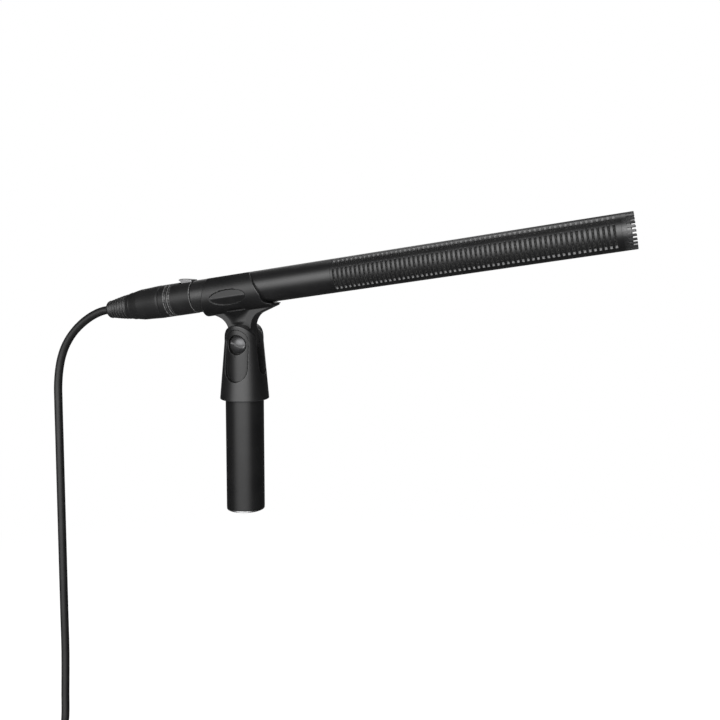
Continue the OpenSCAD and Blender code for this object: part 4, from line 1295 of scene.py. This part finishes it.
    def build_inside(self) -> None:
        """Turn the socket and its pins, and dress the pieces that stay as they are."""
        turned([(9.25, 0.45), (9.25, 20.3), (7.0, 20.3), (7.0, 14.3), (8.0, 14.3), (8.0, 0.45)], 0.25).placed(
            MIC_PLACE).piece("mic_socket_shell", Finishes.SATIN_BLACK, "microphone", ("connector_shell",))
        pins_skin(4.0, 1.2, 3.7, 23.1).placed(MIC_PLACE).piece(
            "mic_contact_pins", Finishes.GOLD, "microphone", ("contact_pins",))
        for node, finish in {
                "pin_insert": Finishes.BLACK_PLASTIC, "circuit_board": Finishes.BOARD,
                "board_parts": Finishes.COMPONENT, "rear_carrier": Finishes.PLATED,
                "front_carrier": Finishes.PLATED, "capsule_housing": Finishes.PLATED,
                "capsule_insulator": Finishes.WHITE_PLASTIC, "backplate": Finishes.BRASS,
                "diaphragm": Finishes.GOLD, "diaphragm_ring": Finishes.BRASS, "capsule_seal": Finishes.RUBBER,
                "capsule_leads": Finishes.RED_WIRE, "output_leads": Finishes.BLUE_WIRE}.items():
            dress(node, finish)

    def build(self) -> None:
        """Build the whole microphone."""
        self.build_body()
        self.build_slotted()
        self.build_liner()
        self.build_crown()
        self.build_screen()
        self.build_inside()


# ---------------------------------------------------------------- clip


@dataclass
class Clip:
    """The stand clip: cradle, base and pivot screw. Millimetres, about the pivot."""

    mic_r: float = 10.5
    bore_r: float = 10.55
    shell_r: float = 13.0
    shell_drop: float = 0.95
    open_half: float = 31.0
    tongue_t: float = 9.4
    ear_gap: float = 10.0
    ear_r: float = 12.4
    gap_floor: float = 19.5
    skirt_z: float = 72.0
    skirt_r: float = 15.7
    skirt_top_r: float = 12.45
    skirt_taper_h: float = 37.0
    recess_r: float = 7.8
    recess_floor: float = 11.8
    recess_low: float = 15.5
    hole_r: float = 6.3
    head_seat: float = 7.4
    head_h: float = 3.6
    dome_r: float = 8.6
    screw_slot_w: float = 1.2
    cell: float = 0.38

    def cradle_side(self) -> np.ndarray:
        """Return the cradle's side outline, measured from the microphone's axis."""
        r = self.mic_r
        return np.concatenate([
            [[-22.9, -r - 6], [-15.6, r + 1]], arc((11.9, r - 3.6), 4, 75, 12, 8), [[21.4, -4.5]],
            arc((25.4, -r + 3.6), 4.2, 195, 262, 6),
            [[26.5, -r - 1], [25.8, -r - 2.3], [19.6, -r - 6]]])

    def neck_side(self) -> np.ndarray:
        """Return the side outline of the neck and the tongue, about the pivot."""
        top = AXIS_H - self.mic_r - 1.6
        return np.concatenate([
            arc((0.5, 0), 7.9, 180, 360, 16), arc((19.8, 7.6), 11.5, 180, 118, 8),
            [[27.5, top - 0.4], [-17.9, top - 0.4]], arc((-18.3, 9.3), 11.0, 58, 0, 8)])

    def cradle_field(self, x: np.ndarray, y: np.ndarray, z: np.ndarray) -> np.ndarray:
        """Return the cradle's distance field in the clip's own frame.

        The shell is a round bar about a line just under the microphone's axis, cut to its side outline
        and open on top. The neck joins it with a small fillet and flows into the tongue. The bore, the
        screw's hole and the two thumb grips are cut out at the end.
        """
        far, up = np.abs(y), z - AXIS_H
        shell = both(np.hypot(y, up + self.shell_drop) - self.shell_r, outline(x, up, self.cradle_side()), 0.45)
        side = outline(x, z, self.neck_side())
        tongue = both(side, far - self.tongue_t / 2, 0.4)
        flare = 4.9 + np.clip((z - 13.0) / 10.0, 0, 1.2) ** 2 * 6.4
        cone = both((np.hypot(x - 0.5, y) - flare) * 0.7, 13.4 - z, 1.0)
        neck = either(tongue, both(side, both(cone, z - 24.5, 0.3), 0.4), 1.6)
        solid = either(shell, neck, 0.45)
        angle = math.radians(self.open_half)
        mouth = far * math.cos(angle) - up * math.sin(angle)
        solid = less(solid, mouth, 0.35)
        solid = less(solid, self.grip_field(x, far, up + self.shell_drop), 0.12)
        solid = less(solid, np.hypot(y, up) - self.bore_r, 0.3)
        return less(solid, np.hypot(x, z) - 2.55, 0.1)

    def grip_field(self, x: np.ndarray, far: np.ndarray, up: np.ndarray) -> np.ndarray:
        """Return the thumb grip on a side of the shell: an oval hollow with a ridge along its middle.

        The oval is measured along the shell and round it. Inside it, the shell is cut down to two
        planes that meet on the ridge, a steep one above it and a shallow one below.
        """
        ridge = -10.3
        turn = np.degrees(np.arctan2(up, far))
        round_ = self.shell_r * np.radians(turn - ridge)
        tall = np.where(round_ > 0, 4.76, 5.4)
        oval = (np.hypot((x + 0.7) / 12.6, round_ / tall) - 1) * 4.0
        floors = []
        for lean in (24.0, -17.0):
            a = math.radians(ridge + lean)
            floors.append(far * math.cos(a) + up * math.sin(a) - self.shell_r * math.cos(math.radians(lean)))
        return np.maximum(oval, -np.maximum(*floors))

    def base_field(self, x: np.ndarray, y: np.ndarray, z: np.ndarray) -> np.ndarray:
        """Return the clip base's distance field: a tapered barrel cut into two ears.

        The barrel's radius falls evenly to the taper's height, and the ears' tops are round about the
        pivot. The gap, a recess on each ear, the seats of the screw and nut and the threaded foot's
        bores are cut out.
        """
        high, wide = z - PIVOT_Z, np.hypot(x, y)
        taper = np.clip((z - self.skirt_z) / self.skirt_taper_h, 0, 1)
        barrel = (wide - (self.skirt_r + (self.skirt_top_r - self.skirt_r) * taper)) * 0.996
        tops = np.where(high > 0, np.hypot(x, high) - self.ear_r, -1e3 + 0 * x)
        tops = np.maximum(tops, high - self.ear_r)
        solid = both(both(barrel, tops, 0.8), self.skirt_z - z, 0.5)
        low = PIVOT_Z - self.gap_floor + self.ear_gap / 2
        gap = np.where(z > low, np.abs(y), np.hypot(y, z - low)) - self.ear_gap / 2
        solid = less(solid, gap, 0.45)
        rise = high - np.clip(high, -self.recess_low, 1.8)
        recess = np.maximum(np.hypot(x, rise) - self.recess_r, self.recess_floor - wide)
        solid = less(solid, recess, 0.3)
        pip = np.sqrt((x + 0.6) ** 2 + (y + self.recess_floor) ** 2 + (high + 6.9) ** 2) - 0.4
        solid = either(solid, pip, 0.15)
        screw = np.hypot(x, high)
        solid = less(solid, np.maximum(screw - self.hole_r, y + self.head_seat), 0.3)
        hexagon = np.maximum(np.abs(high), np.maximum(np.abs(high * 0.5 + x * 0.866), np.abs(high * 0.5 - x * 0.866)))
        solid = less(solid, np.maximum(hexagon - 4.13, self.head_seat - y), 0.2)
        solid = less(solid, screw - 2.55, 0.1)
        solid = less(solid, np.maximum(wide - 12.55, z - self.skirt_z - 3.6), 0.3)
        return less(solid, np.maximum(wide - 10.0, z - self.skirt_z - 14.25), 0.2)

    def head_field(self, x: np.ndarray, y: np.ndarray, z: np.ndarray) -> np.ndarray:
        """Return the screw head's field: a disc under a dome, with a slot that leans 15 degrees."""
        high, out = z - PIVOT_Z, -y
        disc = both(np.hypot(x, high) - 5.6, self.head_seat - out, 0.1)
        centre = self.head_seat + self.head_h - self.dome_r
        dome = np.sqrt(x ** 2 + high ** 2 + (out - centre) ** 2) - self.dome_r
        lean = math.radians(-15)
        across = np.abs(high * math.cos(lean) - x * math.sin(lean)) - self.screw_slot_w / 2
        slot = np.maximum(across, self.head_seat + self.head_h - 1.4 - out)
        return less(both(disc, dome, 0.35), slot, 0.18)

    def build(self) -> None:
        """Build the clip's pieces."""
        cradle = skin_of(self.cradle_field, (-23.5, -13.2, -8.2), (32, 13.2, 46), self.cell)
        cradle.placed(CLIP_PLACE).piece("cradle", Finishes.CLIP, "cradle", ("clip_cradle",))
        base = skin_of(self.base_field, (-15.8, -15.8, 71.8), (15.8, 15.8, 120.2), self.cell)
        base.piece("clip_barrel", Finishes.CLIP, "clip", ("clip_base",))
        head = skin_of(self.head_field, (-5.8, -11.2, PIVOT_Z - 5.8), (5.8, -7.3, PIVOT_Z + 5.8), 0.16)
        shank = lathe(np.array([[0, -7.6], [2.5, -7.6], [2.5, 10.5], [2.2, 10.8], [0, 10.8]]), 32, closed=False)
        sideways = Place((0.0, 0.0, PIVOT_Z), (1.0, 0.0, 0.0), (0.0, 0.0, -1.0), (0.0, 1.0, 0.0))
        head.piece("pivot_screw_head", Finishes.SCREW, "screw", ("pivot_screw",))
        shank.placed(sideways).piece("pivot_screw_shank", Finishes.SCREW, "screw", ("pivot_screw",))
        dress("pivot_nut", Finishes.PLATED)
        dress("thread_insert", Finishes.BRASS)


# ---------------------------------------------------------------- stand


@dataclass
class Stand:
    """The stand tube with its stud and its threaded foot. Millimetres."""

    radius: float = 12.25
    wall: float = 1.5
    top: float = 74.0
    flange: float = 1.0
    thread_r: float = 7.95
    foot_h: float = 14.0
    pitch: float = 0.941

    def build_foot(self) -> None:
        """Build the threaded foot.

        The bore is a grid whose radius is the thread's inner radius plus a ridge that depends on
        z / pitch - angle / 360 alone, so the ridge climbs as a true thread.
        """
        around, rows = 72, int(self.foot_h / self.pitch * 8)
        angle = np.linspace(0, 2 * math.pi, around, endpoint=False)
        z = np.linspace(0.6, self.foot_h + 1.4, rows)[:, None]
        share = (z / self.pitch - angle / (2 * math.pi)) % 1.0
        ridge = np.clip(1.3 - np.abs(share - 0.5) * 3.2, 0, 1) * 0.42
        ridge = ridge * np.clip((z - 0.6) / 0.8, 0, 1) * np.clip((self.foot_h + 1.4 - z) / 0.8, 0, 1)
        bore = np.stack([(self.thread_r + 0.01 + ridge) * np.cos(angle), (self.thread_r + 0.01 + ridge) * np.sin(angle),
                         z + 0 * angle], -1)
        plug_r = self.radius - self.wall - 0.05
        outer = rounded([(self.thread_r + 0.01, self.foot_h + 1.4), (self.thread_r + 0.5, self.foot_h + 2),
                         (plug_r, self.foot_h + 2), (plug_r, self.flange), (self.radius - 0.05, self.flange),
                         (self.radius - 0.05, 0.0), (self.thread_r + 0.6, 0.0), (self.thread_r + 0.01, 0.6)],
                        0.2, 3, closed=False)
        shell = lathe(outer, around, closed=False)
        count = len(shell.points)
        points = np.concatenate([shell.points, bore.reshape(-1, 3)])
        faces = [shell.faces[0], grid_faces(rows, around, False, True) + count]
        skin = Skin(points, faces)
        skin.piece("stand_foot", Finishes.PLATED, "stand", ("post_socket",))

    def build(self) -> None:
        """Build the tube and its ends."""
        r, w = self.radius, self.wall
        turned([(r - w, self.flange), (r, self.flange), (r, self.top), (r - w, self.top)], 0.3, 128).piece(
            "stand_post", Finishes.STAND, "stand", ("stand_tube",))
        self.build_foot()
        dress("post_stud", Finishes.PLATED)


# ---------------------------------------------------------------- plug


@dataclass
class Plug:
    """The cable plug on the microphone. Millimetres behind the rim of its shell."""

    plug_d: float = 21.4
    plug_len: float = 23.7
    nose_d: float = 15.9
    nose_len: float = 13.5
    bushing_len: float = 26.8
    relief_len: float = 17.2
    cable_d: float = 5.6
    latch_w: float = 8.0
    latch_len: float = 9.6
    groove_at: tuple[float, float] = (15.6, 18.6)
    groove_depth: float = 0.7
    groove_turn: float = 102.0
    blank_half: float = 8.0

    def shell_field(self, x: np.ndarray, y: np.ndarray, p: np.ndarray) -> np.ndarray:
        """Return the shell's field: three round steps, hollow, with two grooves and the latch's notch.

        A groove is cut where the angle from the middle of its blank flat, folded to half a turn, is
        more than the flat's half-angle.
        """
        wide, r = np.hypot(x, y), self.plug_d / 2
        barrel = both(both(wide - r, -p, 0.45), p - self.plug_len, 0.4)
        nose = both(both(wide - self.nose_d / 2, -self.nose_len - p, 0.4), p - 4, 0.1)
        tail = both(wide - r + 2, p - self.plug_len - 5, 0.2)
        tail = np.maximum(tail, 15 - p)
        solid = np.minimum(barrel, np.minimum(nose, tail))
        turn = np.radians((np.degrees(np.arctan2(y, x)) - self.groove_turn + 90) % 180 - 90)
        blank = (math.radians(self.blank_half) - np.abs(turn)) * r
        for at in self.groove_at:
            ring = np.maximum(np.abs(p - at) - 0.5, r - self.groove_depth - wide)
            solid = less(solid, np.maximum(ring, blank), 0.12)
        notch = np.maximum(np.maximum(np.abs(y) - self.latch_w / 2 - 0.3, p - self.latch_len - 0.3), x + 7.9)
        solid = less(solid, notch, 0.15)
        bore = np.maximum(wide - self.nose_d / 2 + 1, p - 9)
        return less(less(solid, bore, 0.1), np.maximum(wide - 7.5, 9 - p), 0.1)

    def latch_field(self, x: np.ndarray, y: np.ndarray, p: np.ndarray) -> np.ndarray:
        """Return the latch's field: a block whose top climbs backwards to an undercut lip."""
        top, low = self.plug_d / 2 + 2.4, self.plug_d / 2 - 1.1
        side = outline(x + top, p, np.array([[1.9, 0.3], [0, self.latch_len - 1], [0, self.latch_len],
                                             [1.2, self.latch_len], [2.2, self.latch_len - 1.4],
                                             [top - low, self.latch_len - 1.4], [top - low, 0.3]]))
        crown = np.hypot(y, x + top - 14.0) - 14.0
        return both(both(side + 0.15, np.abs(y) - self.latch_w / 2 + 0.15, 0.25), crown + 0.1, 0.3) - 0.12

    def build(self) -> None:
        """Build the plug's pieces."""
        r, n = self.plug_d / 2, self.plug_len
        shell = skin_of(self.shell_field, (-r - 0.1, -r - 0.1, -self.nose_len), (r + 0.1, r + 0.1, n + 5), 0.33)
        wide, p = np.hypot(*shell.points[:, :2].T), shell.points[:, 2]
        # Painted highlight: the groove edges and the rim at the joint take the lighter wear-and-sheen colour, standing
        # in for light caught on their bevels.
        edges = [0.0] + [at + side for at in self.groove_at for side in (-0.55, 0.55)]
        near = np.min([np.abs(p - edge) for edge in edges], axis=0)
        shell.wear_and_sheen = np.exp(-(near / 0.25) ** 2) * (wide > r - 0.35)
        shell.placed(PLUG_PLACE).piece("plug_barrel", Finishes.PLUG, "plug", ("plug_shell",))
        latch = skin_of(self.latch_field, (-r - 2.5, -4.1, 0.2), (-r + 1.2, 4.1, self.latch_len), 0.18)
        latch.placed(PLUG_PLACE).piece("latch", Finishes.LATCH, "latch", ("latch_button",))
        bushing_skin(n, self.bushing_len, self.plug_d, self.cable_d).placed(PLUG_PLACE).piece(
            "plug_bushing_sleeve", Finishes.BUSHING, "plug", ("plug_bushing",))
        relief_skin(n + self.bushing_len, self.relief_len, self.plug_d, self.cable_d).placed(PLUG_PLACE).piece(
            "plug_relief", Finishes.RELIEF, "plug", ("strain_relief",))
        for node, finish in {"latch_spring": Finishes.PLATED, "socket_insert": Finishes.BLACK_PLASTIC,
                             "socket_contacts": Finishes.GOLD, "cable_chuck": Finishes.WHITE_PLASTIC}.items():
            dress(node, finish)


def main() -> None:
    """Build the studio and every sub-assembly in order."""
    logging.basicConfig(level=logging.INFO, format="%(name)s: %(message)s", stream=sys.stdout)
    studio = Studio()
    studio.build_camera()
    Lead().build()
    Microphone().build()
    Clip().build()
    Stand().build()
    Plug().build()
    studio.build_lights()
    studio.build_floor(CAD_BOX[0].z - 0.17)
    bpy.context.view_layer.update()


if __name__ == "__main__":
    main()
